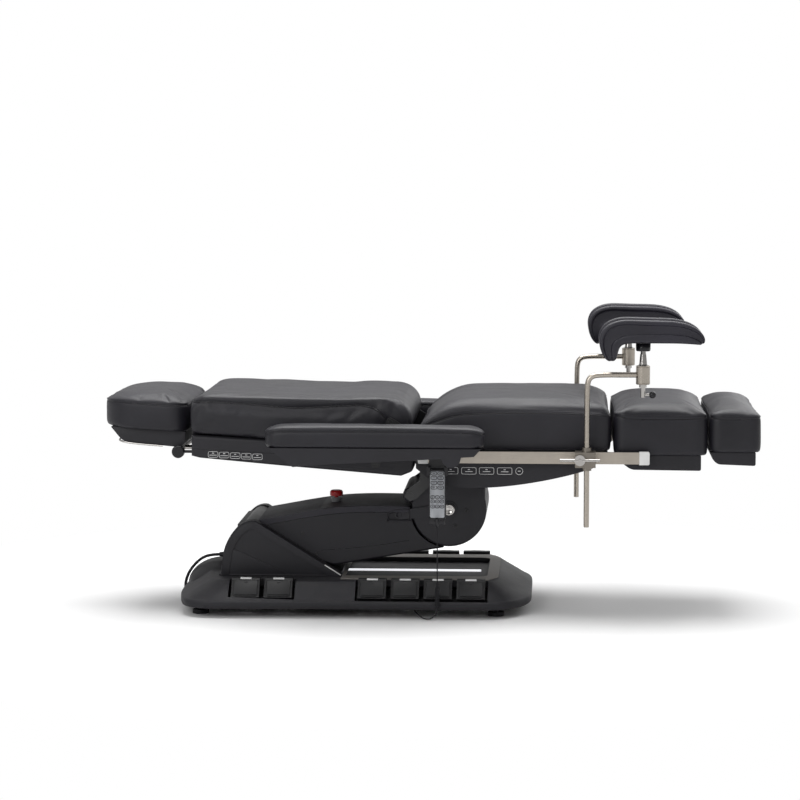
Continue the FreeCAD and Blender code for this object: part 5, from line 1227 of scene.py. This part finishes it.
class EXAMTABLE_OT_base(bpy.types.Operator):
    """Builds the moulded base cover, the strip in its tray and the pedals"""

    bl_idname = "examtable.base"
    bl_label = "Base cover and pedals"

    def execute(self, context):
        self.cover()
        strip = block("tray_light", (-0.268, 0.004, 0.0895), (0.148, 0.019, 0.0945), 0.0018)
        settle(strip, "lamp", "base")
        for name, side in SIDES:
            for bank, first, count in PEDAL_BANKS:
                for index in range(count):
                    self.pedal(f"{name}_{bank}_{index + 1}", first + PEDAL_PITCH * index, side)
        return {"FINISHED"}

    def ring(self, height, share, inset):
        """One level of the cover, between the plan of the rim and that of the deck."""
        outline = []
        for (x0, y0), (x1, y1) in zip(BASE_PLAN, DECK_PLAN):
            x, y = x0 + (x1 - x0) * share, y0 + (y1 - y0) * share
            outline.append((-0.22 + (x + 0.22) * (1 - inset / 0.43), y * (1 - inset / 0.30)))
        return [Vector((p.x, p.y, height)) for p in softened(outline, BASE_REACH)]

    def cover(self):
        levels = [(0.028, 0, 0.004), (0.0288, 0, 0.0012), (0.0315, 0, 0), (0.0465, 0, 0),
                  (0.0495, 0, 0.0008), (0.0515, 0, 0.0024), (0.0530, 0, 0.0052)]
        for s in (0, 0.25, 0.5, 0.75, 1.0):
            levels.append((0.0545 + 0.046 * s, 0.04 + 0.94 * s, 0.0052 * (1 - s)))
        levels += [(0.1026, 1.0, 0.002), (0.1037, 1.0, 0.006), (DECK, 1.0, 0.012)]
        levels += [(DECK, 1.0, 0.012 + 0.05 * i) for i in range(1, 6)]
        piece = ring_mesh("base_moulding", [self.ring(*level_here) for level_here in levels])
        dome = turned("dome", (0, 0, 0), "Z", [(0, 0)] + [
            (math.cos(math.radians(a)), math.sin(math.radians(a))) for a in range(0, 91, 6)
        ], 64)
        for vertex in dome.data.vertices:
            x, y, z = vertex.co
            vertex.co = (-0.648 + x * 0.104, y * 0.150, 0.052 + z * 0.076)
        piece = carved(piece, [dome], "UNION")
        cutters = []
        for _, side in SIDES:
            for _, first, count in PEDAL_BANKS:
                last = first + PEDAL_PITCH * (count - 1) + PEDAL_WIDTH
                inner, outer = sorted((side * 0.266, side * 0.3445))
                cutters.append(block("bay", (first - 0.008, inner, 0.046), (last + 0.008, outer, 0.16),
                                     0.003))
            inner, outer = sorted((side * 0.161, side * 0.179))
            cutters.append(block("slot", (-0.6076, inner, 0.02), (-0.3876, outer, 0.2), 0.0005))
        cutters.append(block("tray", (-0.272, -0.190, 0.090), (0.172, 0.190, 0.16), 0.010, 5))
        cutters.append(block("seat", (-0.631, -0.2004, DECK), (-0.5016, 0.2004, 0.2), 0.0005))
        cutters.append(block("bracket", (-0.5716, -0.03, 0.02), (-0.5116, 0.03, 0.2), 0.0005))
        cutters.append(block("hollow", (-0.662, -0.276, 0.01), (0.187, 0.276, 0.085), 0.004))
        piece = carved(piece, cutters)
        settle(piece, "cover", "base")
        crisp(piece)
        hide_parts("base_cover")

    def pedal(self, name, start, side):
        """A sloping frame round a recessed slab, with two ridges at its low lip and a pale tab."""
        work = bmesh.new()
        section = [(0.272, 0.100), (0.272, 0.112), (0.298, 0.112), (0.341, 0.061), (0.330, 0.053),
                   (0.291, 0.100)]
        ends = [[work.verts.new((x, y, z)) for y, z in section] for x in (start, start + PEDAL_WIDTH)]
        count = len(section)
        work.faces.new(ends[0])
        work.faces.new(ends[1][::-1])
        for step in range(count):
            after = (step + 1) % count
            face = work.faces.new((ends[0][step], ends[1][step], ends[1][after], ends[0][after]))
            if step == 2:
                slope = face
        bmesh.ops.recalc_face_normals(work, faces=work.faces)
        bmesh.ops.inset_region(work, faces=[slope], thickness=0.0085, depth=-0.0034)
        bmesh.ops.inset_region(work, faces=[slope], thickness=0.0016, depth=0.0022)
        bmesh.ops.bevel(work, geom=work.edges[:], offset=0.0011, segments=2, profile=0.5,
                        affect="EDGES")
        parts = [finished("slab", work)]
        down = Vector((0, 0.043, -0.051)).normalized()
        out = Vector((0, -down.z, down.y))
        for distance in (0.0555, 0.0605):
            ridge = block("ridge", (start + 0.010, -0.001, -0.001),
                          (start + PEDAL_WIDTH - 0.010, 0.001, 0.0012), 0.0005)
            for vertex in ridge.data.vertices:
                x, y, z = vertex.co
                vertex.co = Vector((x, 0.298, 0.112)) + down * (distance + y) + out * z
            parts.append(ridge)
        middle = start + PEDAL_WIDTH / 2
        tab = block("tab", (middle - 0.0165, 0.2885, 0.1085), (middle + 0.0165, 0.2998, 0.1130), 0.0007)
        parts.append(block("stem", (middle - 0.005, 0.298, 0.040), (middle + 0.005, 0.308, 0.102),
                           0.002))
        piece = joined("pedal_plate_" + name, parts)
        for made in (piece, tab):
            for vertex in made.data.vertices:
                vertex.co.y *= side
            if side < 0:
                made.data.flip_normals()
        tab.name = "pedal_tab_" + name
        body = f"pedal_{name}_body"
        settle(piece, "pedal", body)
        crisp(piece, 40)
        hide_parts("pedal_" + name)
        settle(tab, "mark", body)


# Housing round the arm, and the arm's fittings


HOUSING = [
    (-0.6308, 0.1043), (-0.6263, 0.1426), (-0.6203, 0.1800), (-0.6100, 0.2080), (-0.5900, 0.2400),
    (-0.5640, 0.2640), (-0.5400, 0.2712), (-0.5240, 0.2690), (-0.2690, 0.1105), (-0.2690, 0.1043),
]
ARM_SIDE = 0.1568


def screw(name, x, z, side, face, radius=0.0052):
    """A countersunk screw head on a side face."""
    profile = [(0, 0.0002), (0.0022, 0.0002), (0.0024, 0.0012), (radius - 0.0010, 0.0014),
               (radius, 0.0007), (radius + 0.0002, -0.001), (0, -0.001)]
    return turned(name, (x, side * face, z), "Y", [(r, d * side) for r, d in profile], 20)


class EXAMTABLE_OT_lift(bpy.types.Operator):
    """Builds the housing round the arm, the arm's top cover, its seams and screws"""

    bl_idname = "examtable.lift"
    bl_label = "Lift covers"

    def execute(self, context):
        self.housing()
        self.arm()
        self.knuckle()
        return {"FINISHED"}

    def housing(self):
        outline = HOUSING[:1] + smooth_line(HOUSING[1:8], 2) + HOUSING[8:]
        piece = prism("housing_moulding", outline, -0.200, 0.200, 0.006)
        slot = [(-0.6076, 0.09), (-0.264, 0.09), (-0.264, 0.34), (-0.5896, 0.34), (-0.5896, 0.2252),
                (-0.6076, 0.1512)]
        piece = carved(piece, [prism("slot", slot, -0.160, 0.160, 0.0005)])
        settle(piece, "cover", "base")
        crisp(piece)
        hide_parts("rear_housing")
        rim = smooth_line(HOUSING[1:8], 1) + [(-0.2740, 0.1135)]
        rim = [(-0.6290, 0.112)] + rim
        crease = smooth_line([(-0.6130, 0.1890), (-0.572, 0.178), (-0.498, 0.1420), (-0.4160, 0.1063)],
                             2)
        for name, side in SIDES:
            ends = sorted((side * 0.1985, side * 0.2042))
            border = [(x + 0.004, z - 0.004) for x, z in rim]
            made = [prism("band", band(border, 0.021), *ends, 0.0030, 4)]
            ends = sorted((side * 0.1985, side * 0.2024))
            panel = [(-0.6240, 0.1075), (-0.6205, 0.1750)] + crease
            made.append(prism("panel", panel, *ends, 0.0014, 3))
            made = joined("housing_relief_" + name, made)
            settle(made, "cover", "base")
            crisp(made)
            ends = sorted((side * 0.1985, side * 0.2052))
            # A pale strip along the housing's lower edge: a painted highlight where the edge catches the
            # light.
            strip = prism("housing_highlight_strip_" + name, band([(-0.3150, 0.1395), (-0.2665, 0.1090)], 0.0028),
                          *ends, 0.0006, 2)
            settle(strip, "caps", "base")
        flange = block("housing_flange", (-0.6345, -0.2035, 0.1038), (-0.2655, 0.2035, 0.1085), 0.0015)
        hole = block("flange_hole", (-0.6076, -0.158, 0.09), (-0.20, 0.158, 0.13), 0.0005)
        flange = carved(flange, [hole])
        settle(flange, "cover", "base")
        crisp(flange)

    def arm(self):
        top = [(-0.520, 0.2655), (-0.317, 0.3035), (-0.207, 0.3112), (-0.0645, 0.3097)]
        ridge = smooth_line(top, 2)
        above = [(x, z + 0.0006) for x, z in ridge]
        cap = prism("arm_cap", band(above, 0.017), -0.1575, 0.1575, 0.005, 4)
        # The cap's lighter colour is painted light on the arm's top.
        settle(cap, "textured_lit_top", "arm")
        crisp(cap)
        for name, side in SIDES:
            face = side * ARM_SIDE
            lower = [(-0.330, 0.176), (-0.20, 0.186), (-0.065, 0.2075)]
            seam = loop("seam", [(x, face - side * 0.0006, z) for x, z in smooth_line(lower, 2)],
                        0.0008, False)
            under_cap = loop("cap_seam", [(x, face - side * 0.0004, z - 0.0185) for x, z in ridge],
                             0.0009, False)
            lines = joined("arm_seams_" + name, [seam, under_cap])
            settle(lines, "black", "arm")
            heads = [screw("head", x, z, side, ARM_SIDE - 0.0006) for x, z in
                     ((-0.4905, 0.2340), (-0.3860, 0.2270), (-0.3440, 0.1650))]
            heads = joined("arm_screws_" + name, heads)
            settle(heads, "frame", "arm")
            recess = [(-0.1290, 0.2680), (-0.0630, 0.2680), (-0.0630, 0.3030), (-0.1080, 0.3010),
                      (-0.1290, 0.2880)]
            rim_points = [(p.x, face, p.y) for p in softened(recess, [0.011] * 5, 5, 3)]
            rim = loop("recess_rim", rim_points, 0.0017)
            eye = turned("recess_screw", (-0.097, side * 0.1548, 0.2855), "Y",
                         [(0, 0), (0.0055, 0), (0.0060, side * 0.0022), (0.0095, side * 0.0030),
                          (0.0102, 0), (0, -side * 0.002)], 28)
            made = joined("arm_recess_" + name, [rim, eye])
            settle(made, "shroud", "arm")

    def knuckle(self):
        for name, side in SIDES:
            ring = turned("pivot_ring_" + name, (0.055, side * 0.1618, 0.302), "Y",
                          [(0.0, 0.0), (0.0085, 0.0), (0.0100, side * 0.0012), (0.0150, side * 0.0022),
                           (0.0175, side * 0.0012), (0.0185, -side * 0.002), (0, -side * 0.003)], 44)
            settle(ring, "chrome", "arm")
            places = ((0.1085, 0.3000), (0.0745, 0.2520))
            heads = [screw("head", x, z, side, 0.1500, 0.0068) for x, z in places]
            heads = joined("knuckle_screws_" + name, heads)
            settle(heads, "frame", "head")


# Hand control


class EXAMTABLE_OT_hand_control(bpy.types.Operator):
    """Builds the hand control with its keys"""

    bl_idname = "examtable.hand_control"
    bl_label = "Hand control"

    def execute(self, context):
        left, right, low, high = 0.0050, 0.0530, 0.2990, 0.4460
        front, back = -0.3600, -0.3360
        outline = [(left, low), (right, low), (right, high), (left, high)]
        plan = [(p.x, p.y) for p in softened(outline, [0.008] * 4, 6, 2)]
        shell = prism("hand_control_shell", plan, front, back, 0.0035, 4)
        stem = turned("stem", (0.029, -0.3585, 0.0), "Z",
                      [(0, 0.275), (0.0032, 0.275), (0.0036, 0.284), (0.0055, 0.292), (0.0058, 0.303),
                       (0, 0.303)], 24)
        clip = block("clip", (0.0065, -0.3570, 0.2830), (0.0515, -0.3440, 0.3020), 0.003)
        stem = joined("hand_control_stem", [stem, clip])
        settle(stem, "black", "handset")
        wider = [(x + math.copysign(0.0008, x - 0.029), z) for x, z in plan]
        back_shell = prism("hand_control_back", wider, front + 0.006, back - 0.002, 0.0010, 2)
        settle(back_shell, "black", "handset")
        settle(shell, "black", "handset")
        crisp(shell)
        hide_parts("handset")
        inner = [(left + 0.0028, low + 0.006), (right - 0.0028, low + 0.006),
                 (right - 0.0028, high - 0.004), (left + 0.0028, high - 0.004)]
        film_plan = [(p.x, p.y) for p in softened(inner, [0.006] * 4, 6, 2)]
        film = prism("hand_control_film", film_plan, front - 0.0004, front + 0.001, 0.0002, 2)
        settle(film, "silver", "handset")
        face = front - 0.0006
        rims, glyphs = [], []
        for z in (0.4357, 0.4228, 0.4082, 0.3941):
            for x in (0.0190, 0.0390):
                rims.append(self.pill(x, z, 0.0172, 0.0092, face, 0.0009))
                glyphs.append(loop("glyph", [(x - 0.004, face - 0.0002, z),
                                             (x + 0.004, face - 0.0002, z)], 0.0007, False))
        for z in (0.3657, 0.3531, 0.3382):
            for x in (0.0155, 0.0290, 0.0425):
                rims.append(self.pill(x, z, 0.0112, 0.0090, face, 0.0009))
                glyphs.append(loop("glyph", [(x - 0.002, face - 0.0002, z),
                                             (x + 0.002, face - 0.0002, z)], 0.0009, False))
        lines = joined("hand_control_keys", rims + glyphs)
        settle(lines, "black", "handset")
        return {"FINISHED"}

    def pill(self, x, z, width, height, face, radius):
        """The rim of one key."""
        outline = softened(oblong(x, z, width, height), [height * 0.48] * 4, 5, 2)
        return loop("rim", [(p.x, face, p.y) for p in outline], radius)


# Marks and small fittings


class EXAMTABLE_OT_fittings(bpy.types.Operator):
    """Builds the printed marks on the shrouds and the fittings of the knee supports"""

    bl_idname = "examtable.fittings"
    bl_label = "Marks and fittings"

    def execute(self, context):
        for name, side in SIDES:
            face = side * 0.2853
            marks = []
            for x in (0.0654, 0.1190, 0.1712, 0.2245):
                marks += self.mark(x, 0.4352, 0.0430, 0.0195, face)
            circle = [(0.2675 + 0.0105 * math.cos(a), face, 0.4352 + 0.0105 * math.sin(a)) for a in
                      (math.tau * i / 28 for i in range(28))]
            marks.append(loop("mark", circle, 0.0007))
            marks.append(loop("dash", [(0.2635, face, 0.4352), (0.2715, face, 0.4352)], 0.0012, False))
            made = joined("seat_marks_" + name, marks)
            settle(made, "mark", "seat")
            marks = []
            for step in range(5):
                marks += self.mark(-0.640 + 0.033 * step, 0.4790 - 0.0016 * step, 0.0290, 0.0170,
                                   side * 0.2853)
            made = joined("back_marks_" + name, marks)
            settle(made, "mark", "back")
            line = [(-0.7020, side * 0.2851, 0.4960), (-0.5600, side * 0.2851, 0.4880),
                    (-0.4000, side * 0.2851, 0.4800)]
            settle(loop("back_shell_line_" + name, line, 0.0009, False), "black", "back")
        self.supports()
        return {"FINISHED"}

    def mark(self, x, z, width, height, face):
        """A plain outlined field with two strokes."""
        outline = softened(oblong(x, z, width, height), [0.005] * 4, 5, 2)
        rim = loop("mark", [(p.x, face, p.y) for p in outline], 0.0007)
        stroke = loop("stroke", [(x - 0.011, face, z - 0.002), (x + 0.011, face, z - 0.002)], 0.0010,
                      False)
        dot = loop("dot", [(x - 0.003, face, z + 0.004), (x + 0.003, face, z + 0.004)], 0.0012, False)
        return [rim, stroke, dot]

    def supports(self):
        for name, side in SIDES:
            x = SUPPORT_X + (FAR_SHIFT if side > 0 else 0.0)
            y = side * SUPPORT_Y
            foot = x - 0.162
            bend = ((foot, 0.280), (foot, 0.400), (foot, 0.600), (foot, 0.680), (foot + 0.002, 0.706),
                    (foot + 0.0085, 0.7185), (foot + 0.021, 0.7250), (foot + 0.047, 0.727),
                    (x - 0.060, 0.727), (x - 0.010, 0.727))
            route = [(along, y, height) for along, height in bend]
            tube = plain_mesh(spline("tube", route, 0.0080))
            steps = [
                (0, 0.699), (0.0175, 0.699), (0.0205, 0.7005), (0.0205, 0.7035), (0.0198, 0.7040),
                (0.0205, 0.7045), (0.0205, 0.7495), (0.0198, 0.7500), (0.0205, 0.7505),
                (0.0205, 0.7535), (0.0175, 0.755), (0, 0.755),
            ]
            barrel = turned("barrel", (x, y, 0.0), "Z", steps, 48)
            end = turned("end", (foot, y, 0.0), "Z",
                         [(0, 0.2788), (0.0072, 0.2788), (0.0080, 0.2800), (0, 0.2810)], 32)
            post = joined("support_tube_" + name, [tube, barrel, end])
            settle(post, "nickel", "post_" + name)
            crisp(post, 40)
            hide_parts("support_post_" + name)
            rings = []
            for z, r in ((0.7562, 0.0122), (0.7885, 0.0079), (0.7925, 0.0079)):
                profile = [(0, 0), (r, 0), (r + 0.0007, 0.0008), (r, 0.0016), (0, 0.0016)]
                rings.append(turned("ring", (x, y, z), "Z", profile, 30))
            rings = joined("stem_rings_" + name, rings)
            settle(rings, "black", "stem_" + name)
            angles = [math.radians(a) for a in range(0, 181, 12)]
            half_circle = [(0.0104 * math.sin(a), -0.0104 * math.cos(a)) for a in angles]
            ball = turned("ball", (x + 0.028, y, 0.669), "X", half_circle, 28)
            ball.name = "stem_ball_" + name
            settle(ball, "black", "stem_" + name)


# Covers and fittings that the frame already holds


NODE_FINISHES = {
    "frame": ("base_frame", "lift_arm", "back_frame", "level_link"),
    "rails": ("seat_frame",),
    "cover": ("base_cover", "rear_housing", "arm_cover"),
    "trim": ("tray_trim",),
    "rubber": ("levelling_feet", "cable_gland", "power_plug", "power_cord", "power_coil",
               "handset_cord"),
    "shroud": (
        "lift_head", "arm_side_plates", "seat_shroud", "back_shroud", "head_shroud", "leg_shroud",
        "foot_shroud", "armrest_shell_near", "armrest_shell_far",
    ),
    "black": ("head_knob", "handset_holder"),
    "nickel": ("support_post_near", "support_post_far"),
    "bronze": ("rail_clamp_near", "rail_clamp_far"),
    "chrome": ("clamp_screw_near", "clamp_screw_far", "pad_stem_near", "pad_stem_far", "head_slide"),
    "stop": ("stop_button",),
    "grey": ("stop_collar",),
    "caps": ("rail_end_caps",),
}


class EXAMTABLE_OT_covers(bpy.types.Operator):
    """Gives the covers, frames and fittings of the frame their finishes"""

    bl_idname = "examtable.covers"
    bl_label = "Covers and fittings"

    def execute(self, context):
        for node in NODES.values():
            node.data.materials.clear()
            node.data.materials.append(FINISHES["black"])
        for finish, names in NODE_FINISHES.items():
            for name in names:
                NODES[name].data.materials[0] = FINISHES[finish]
        for name, node in NODES.items():
            if name.startswith("pedal_"):
                node.data.materials[0] = FINISHES["pedal"]
        return {"FINISHED"}


# Stage


class EXAMTABLE_OT_stage(bpy.types.Operator):
    """Builds the floor, the lights and the camera"""

    bl_idname = "examtable.stage"
    bl_label = "Stage"

    def execute(self, context):
        scene = context.scene
        scene.view_settings.view_transform = "Standard"
        floor_mesh = bpy.data.meshes.new("floor")
        half = 60.0
        corners = [(-half, -half, 0), (half, -half, 0), (half, half, 0), (-half, half, 0)]
        floor_mesh.from_pydata(corners, [], [(0, 1, 2, 3)])
        floor = new_object("floor", floor_mesh)
        floor.data.materials.append(self.floor_paint())
        self.world(scene)
        self.lamp("overhead softbox", (0.0, 0.6, 4.2), (0.0, 0.0, 0.4), 3.6, 250.0)
        self.lamp("near softbox", (-2.4, -4.6, 2.6), (0.0, 0.0, 0.4), 2.6, 85.0)
        self.lamp("far softbox", (2.8, 3.8, 2.9), (0.0, 0.0, 0.4), 2.6, 60.0)
        camera_data = bpy.data.cameras.new("camera")
        camera_data.sensor_width = 36.0
        camera_data.lens = 2765.5 / 800.0 * 36.0
        camera_data.clip_end = 200.0
        camera = new_object("camera", camera_data)
        camera.location = (0.3798, -8.392, 1.4011)
        camera.rotation_euler = (math.radians(90 - 5.326), 0.0, math.radians(3.279))
        scene.camera = camera
        return {"FINISHED"}

    def floor_paint(self):
        """A pale floor that runs out into white well behind the table."""
        paint = Finish("pale floor", Roughness=0.9, Specular_IOR_Level=0.1)
        paint.shader.inputs["Base Color"].default_value = (0.90, 0.90, 0.90, 1.0)
        place = paint.add("ShaderNodeNewGeometry", "Position")
        away = paint.add("ShaderNodeVectorMath", "Value", {"operation": "LENGTH"}, s0=place)
        far = paint.add("ShaderNodeMapRange", 0, Value=away, From_Min=0.8, From_Max=1.9)
        glow = paint.add("ShaderNodeEmission", 0, Color=(1.0, 1.0, 1.0, 1.0), Strength=1.0)
        mixed = paint.add("ShaderNodeMixShader", 0, s0=far, s1=paint.shader.outputs[0], s2=glow)
        paint.tree.links.new(mixed, paint.tree.nodes["Material Output"].inputs["Surface"])
        return paint.material

    def world(self, scene):
        """White for the camera and for reflections, softer for the light itself."""
        world = bpy.data.worlds.new("studio")
        world.use_nodes = True
        tree = world.node_tree
        rays = tree.nodes.new("ShaderNodeLightPath").outputs
        seen = add_node(tree, "ShaderNodeMath", 0, {"operation": "MAXIMUM"}, s0=rays["Is Camera Ray"],
                        s1=rays["Is Glossy Ray"])
        seen = add_node(tree, "ShaderNodeMath", 0, {"operation": "MAXIMUM"}, s0=seen,
                        s1=rays["Is Transmission Ray"])
        height = add_node(tree, "ShaderNodeSeparateXYZ", "Z",
                          Vector=tree.nodes.new("ShaderNodeTexCoord").outputs["Generated"])
        walls = add_node(tree, "ShaderNodeMapRange", 0, Value=height, From_Min=-0.2, From_Max=0.9,
                         To_Min=0.22, To_Max=1.1)
        shiny = add_node(tree, "ShaderNodeMapRange", 0, Value=rays["Is Glossy Ray"], To_Min=1.0,
                         To_Max=walls)
        bright = add_node(tree, "ShaderNodeMapRange", 0, Value=seen, To_Min=0.40, To_Max=1.0)
        strength = add_node(tree, "ShaderNodeMath", 0, {"operation": "MULTIPLY"}, s0=bright, s1=shiny)
        background = tree.nodes["Background"]
        background.inputs["Color"].default_value = (1.0, 1.0, 1.0, 1.0)
        tree.links.new(strength, background.inputs["Strength"])
        scene.world = world

    def lamp(self, name, place, target, size, power):
        data = bpy.data.lights.new(name, "AREA")
        data.shape = "SQUARE"
        data.size = size
        data.energy = power
        lamp = new_object(name, data)
        lamp.location = place
        lamp.rotation_euler = (Vector(target) - Vector(place)).to_track_quat("-Z", "Y").to_euler()


# Leads


GLAND_X = -0.6426
MAINS_ROUTE = [
    (GLAND_X, -0.030, 0.142), (GLAND_X - 0.030, -0.030, 0.142),
    (GLAND_X - 0.066, -0.028, 0.132), (GLAND_X - 0.100, -0.022, 0.098),
    (GLAND_X - 0.119, -0.004, 0.060), (GLAND_X - 0.125, 0.026, 0.028),
    (GLAND_X - 0.123, 0.066, 0.010), (GLAND_X - 0.1215, 0.118, 0.0046),
    (GLAND_X - 0.119, 0.178, 0.0046), (GLAND_X - 0.113, 0.238, 0.0046),
    (GLAND_X - 0.101, 0.296, 0.0046), (GLAND_X - 0.077, 0.350, 0.0046),
    (GLAND_X - 0.037, 0.392, 0.0046), (GLAND_X + 0.015, 0.415, 0.0046),
    (GLAND_X + 0.072, 0.426, 0.0046), (GLAND_X + 0.114, 0.4313, 0.005),
]
COIL_CENTRE = Vector((-0.502, 0.486, 0.0))
COIL_ROWS = ((0.052, 0.55), (0.043, 0.55), (0.061, 0.55), (0.0475, 1.42), (0.0565, 1.42), (0.052, 2.3))


def coil_points(centre, diameter):
    """Turns that lie beside and on each other, for one round coil on the floor."""
    points = []
    per_turn = 14
    start = math.radians(250)
    for turn, (radius, level_now) in enumerate(COIL_ROWS):
        after_radius, after_level = COIL_ROWS[min(turn + 1, len(COIL_ROWS) - 1)]
        for step in range(per_turn):
            share = step / per_turn
            ease = max(0.0, (share - 0.7) / 0.3)
            here = radius + (after_radius - radius) * ease
            height = diameter * (level_now + (after_level - level_now) * ease)
            angle = start + math.tau * share
            points.append((centre.x + here * math.cos(angle), centre.y + here * math.sin(angle),
                           height))
    return points


HANDSET_EXIT = (0.029, -0.3585, 0.275)
CURL_TURNS = 15
CURL_TOP = 0.104
CURL_LOW = 0.038


def curly_route(x, y, top):
    """The handset's lead: straight, then a curly stretch, then a turn under the skirt."""
    points = [(x, y, top), (x, y, 0.230), (x, y, 0.180), (x, y, 0.135), (x, y, 0.112)]
    per_turn = 14
    radius = 0.0056
    count = CURL_TURNS * per_turn
    for step in range(count + 1):
        share = step / count
        grown = radius * min(1.0, share * count / per_turn, (1 - share) * count / per_turn)
        angle = math.tau * CURL_TURNS * share
        height = CURL_TOP + (CURL_LOW - CURL_TOP) * share
        points.append((x + grown * math.cos(angle), y + grown * math.sin(angle), height))
    return points + [
        (x - 0.001, y, 0.030), (x - 0.003, y, 0.020), (x - 0.014, y - 0.003, 0.0065),
        (x - 0.031, y + 0.002, 0.003), (x - 0.047, y + 0.014, 0.006), (x - 0.061, y + 0.032, 0.014),
        (x - 0.072, y + 0.048, 0.025), (x - 0.078, y + 0.056, 0.038),
    ]


class EXAMTABLE_OT_leads(bpy.types.Operator):
    """Lays the mains lead with its coil and plug, and hangs the handset's curly lead"""

    bl_idname = "examtable.leads"
    bl_label = "Leads"

    def execute(self, context):
        self.mains(context)
        self.handset(context)
        return {"FINISHED"}

    def mains(self, context):
        diameter = context.scene.table_sizes.mains_lead
        coil = coil_points(COIL_CENTRE, diameter)
        cx, cy = COIL_CENTRE.x, COIL_CENTRE.y
        end = [
            (cx - 0.010, cy - 0.051, diameter * 2.3), (cx + 0.012, cy - 0.047, diameter * 2.5),
            (cx + 0.034, cy - 0.030, diameter * 2.7), (cx + 0.046, cy - 0.010, diameter * 2.8),
            (cx + 0.058, cy - 0.001, diameter * 2.5), (cx + 0.072, cy, 0.0182),
        ]
        lead = spline("mains_lead", MAINS_ROUTE + coil + end, diameter / 2)
        settle(lead, "rubber", "base")
        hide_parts("power_cord", "power_coil")
        self.declare(lead, MAINS_ROUTE[0], diameter, "plug", "medium", "coiled", [NODES["power_plug"]])

    def handset(self, context):
        thin = context.scene.table_sizes.handset_lead
        route = curly_route(*HANDSET_EXIT)
        lead = spline("handset_lead", route, thin / 2)
        settle(lead, "rubber", "base")
        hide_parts("handset_cord")
        self.declare(lead, route[0], thin, "object", "limp", "hanging", [])

    def declare(self, lead, way_out, diameter, far_end, stiffness, lay, ends):
        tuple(way_out)


# Panel and registration


class EXAMTABLE_PT_panel(bpy.types.Panel):
    """Lists the colours, sizes and steps of the table"""

    bl_label = "Examination table"
    bl_idname = "EXAMTABLE_PT_panel"
    bl_space_type = "VIEW_3D"
    bl_region_type = "UI"
    bl_category = "Exam table"

    def draw(self, context):
        layout = self.layout
        for group in (context.scene.table_colours, context.scene.table_sizes):
            box = layout.box()
            for name in group.__annotations__:
                box.prop(group, name)
        for step in STEPS:
            layout.operator(step.bl_idname)


STEPS = (
    EXAMTABLE_OT_covers,
    EXAMTABLE_OT_base,
    EXAMTABLE_OT_lift,
    EXAMTABLE_OT_leads,
    EXAMTABLE_OT_hand_control,
    EXAMTABLE_OT_fittings,
    EXAMTABLE_OT_seat,
    EXAMTABLE_OT_leg_and_foot,
    EXAMTABLE_OT_head,
    EXAMTABLE_OT_back,
    EXAMTABLE_OT_armrests,
    EXAMTABLE_OT_knee_pads,
    EXAMTABLE_OT_stage,
)
CLASSES = (TableColours, TableSizes, *STEPS, EXAMTABLE_PT_panel)


def register():
    for kind in CLASSES:
        bpy.utils.register_class(kind)
    bpy.types.Scene.table_colours = PointerProperty(type=TableColours)
    bpy.types.Scene.table_sizes = PointerProperty(type=TableSizes)


def unregister():
    del bpy.types.Scene.table_sizes
    del bpy.types.Scene.table_colours
    for kind in reversed(CLASSES):
        bpy.utils.unregister_class(kind)


def main():
    """Builds every piece."""
    register()
    make_finishes()
    for step in STEPS:
        group, name = step.bl_idname.split(".")
        getattr(getattr(bpy.ops, group), name)()


if __name__ == "__main__":
    main()
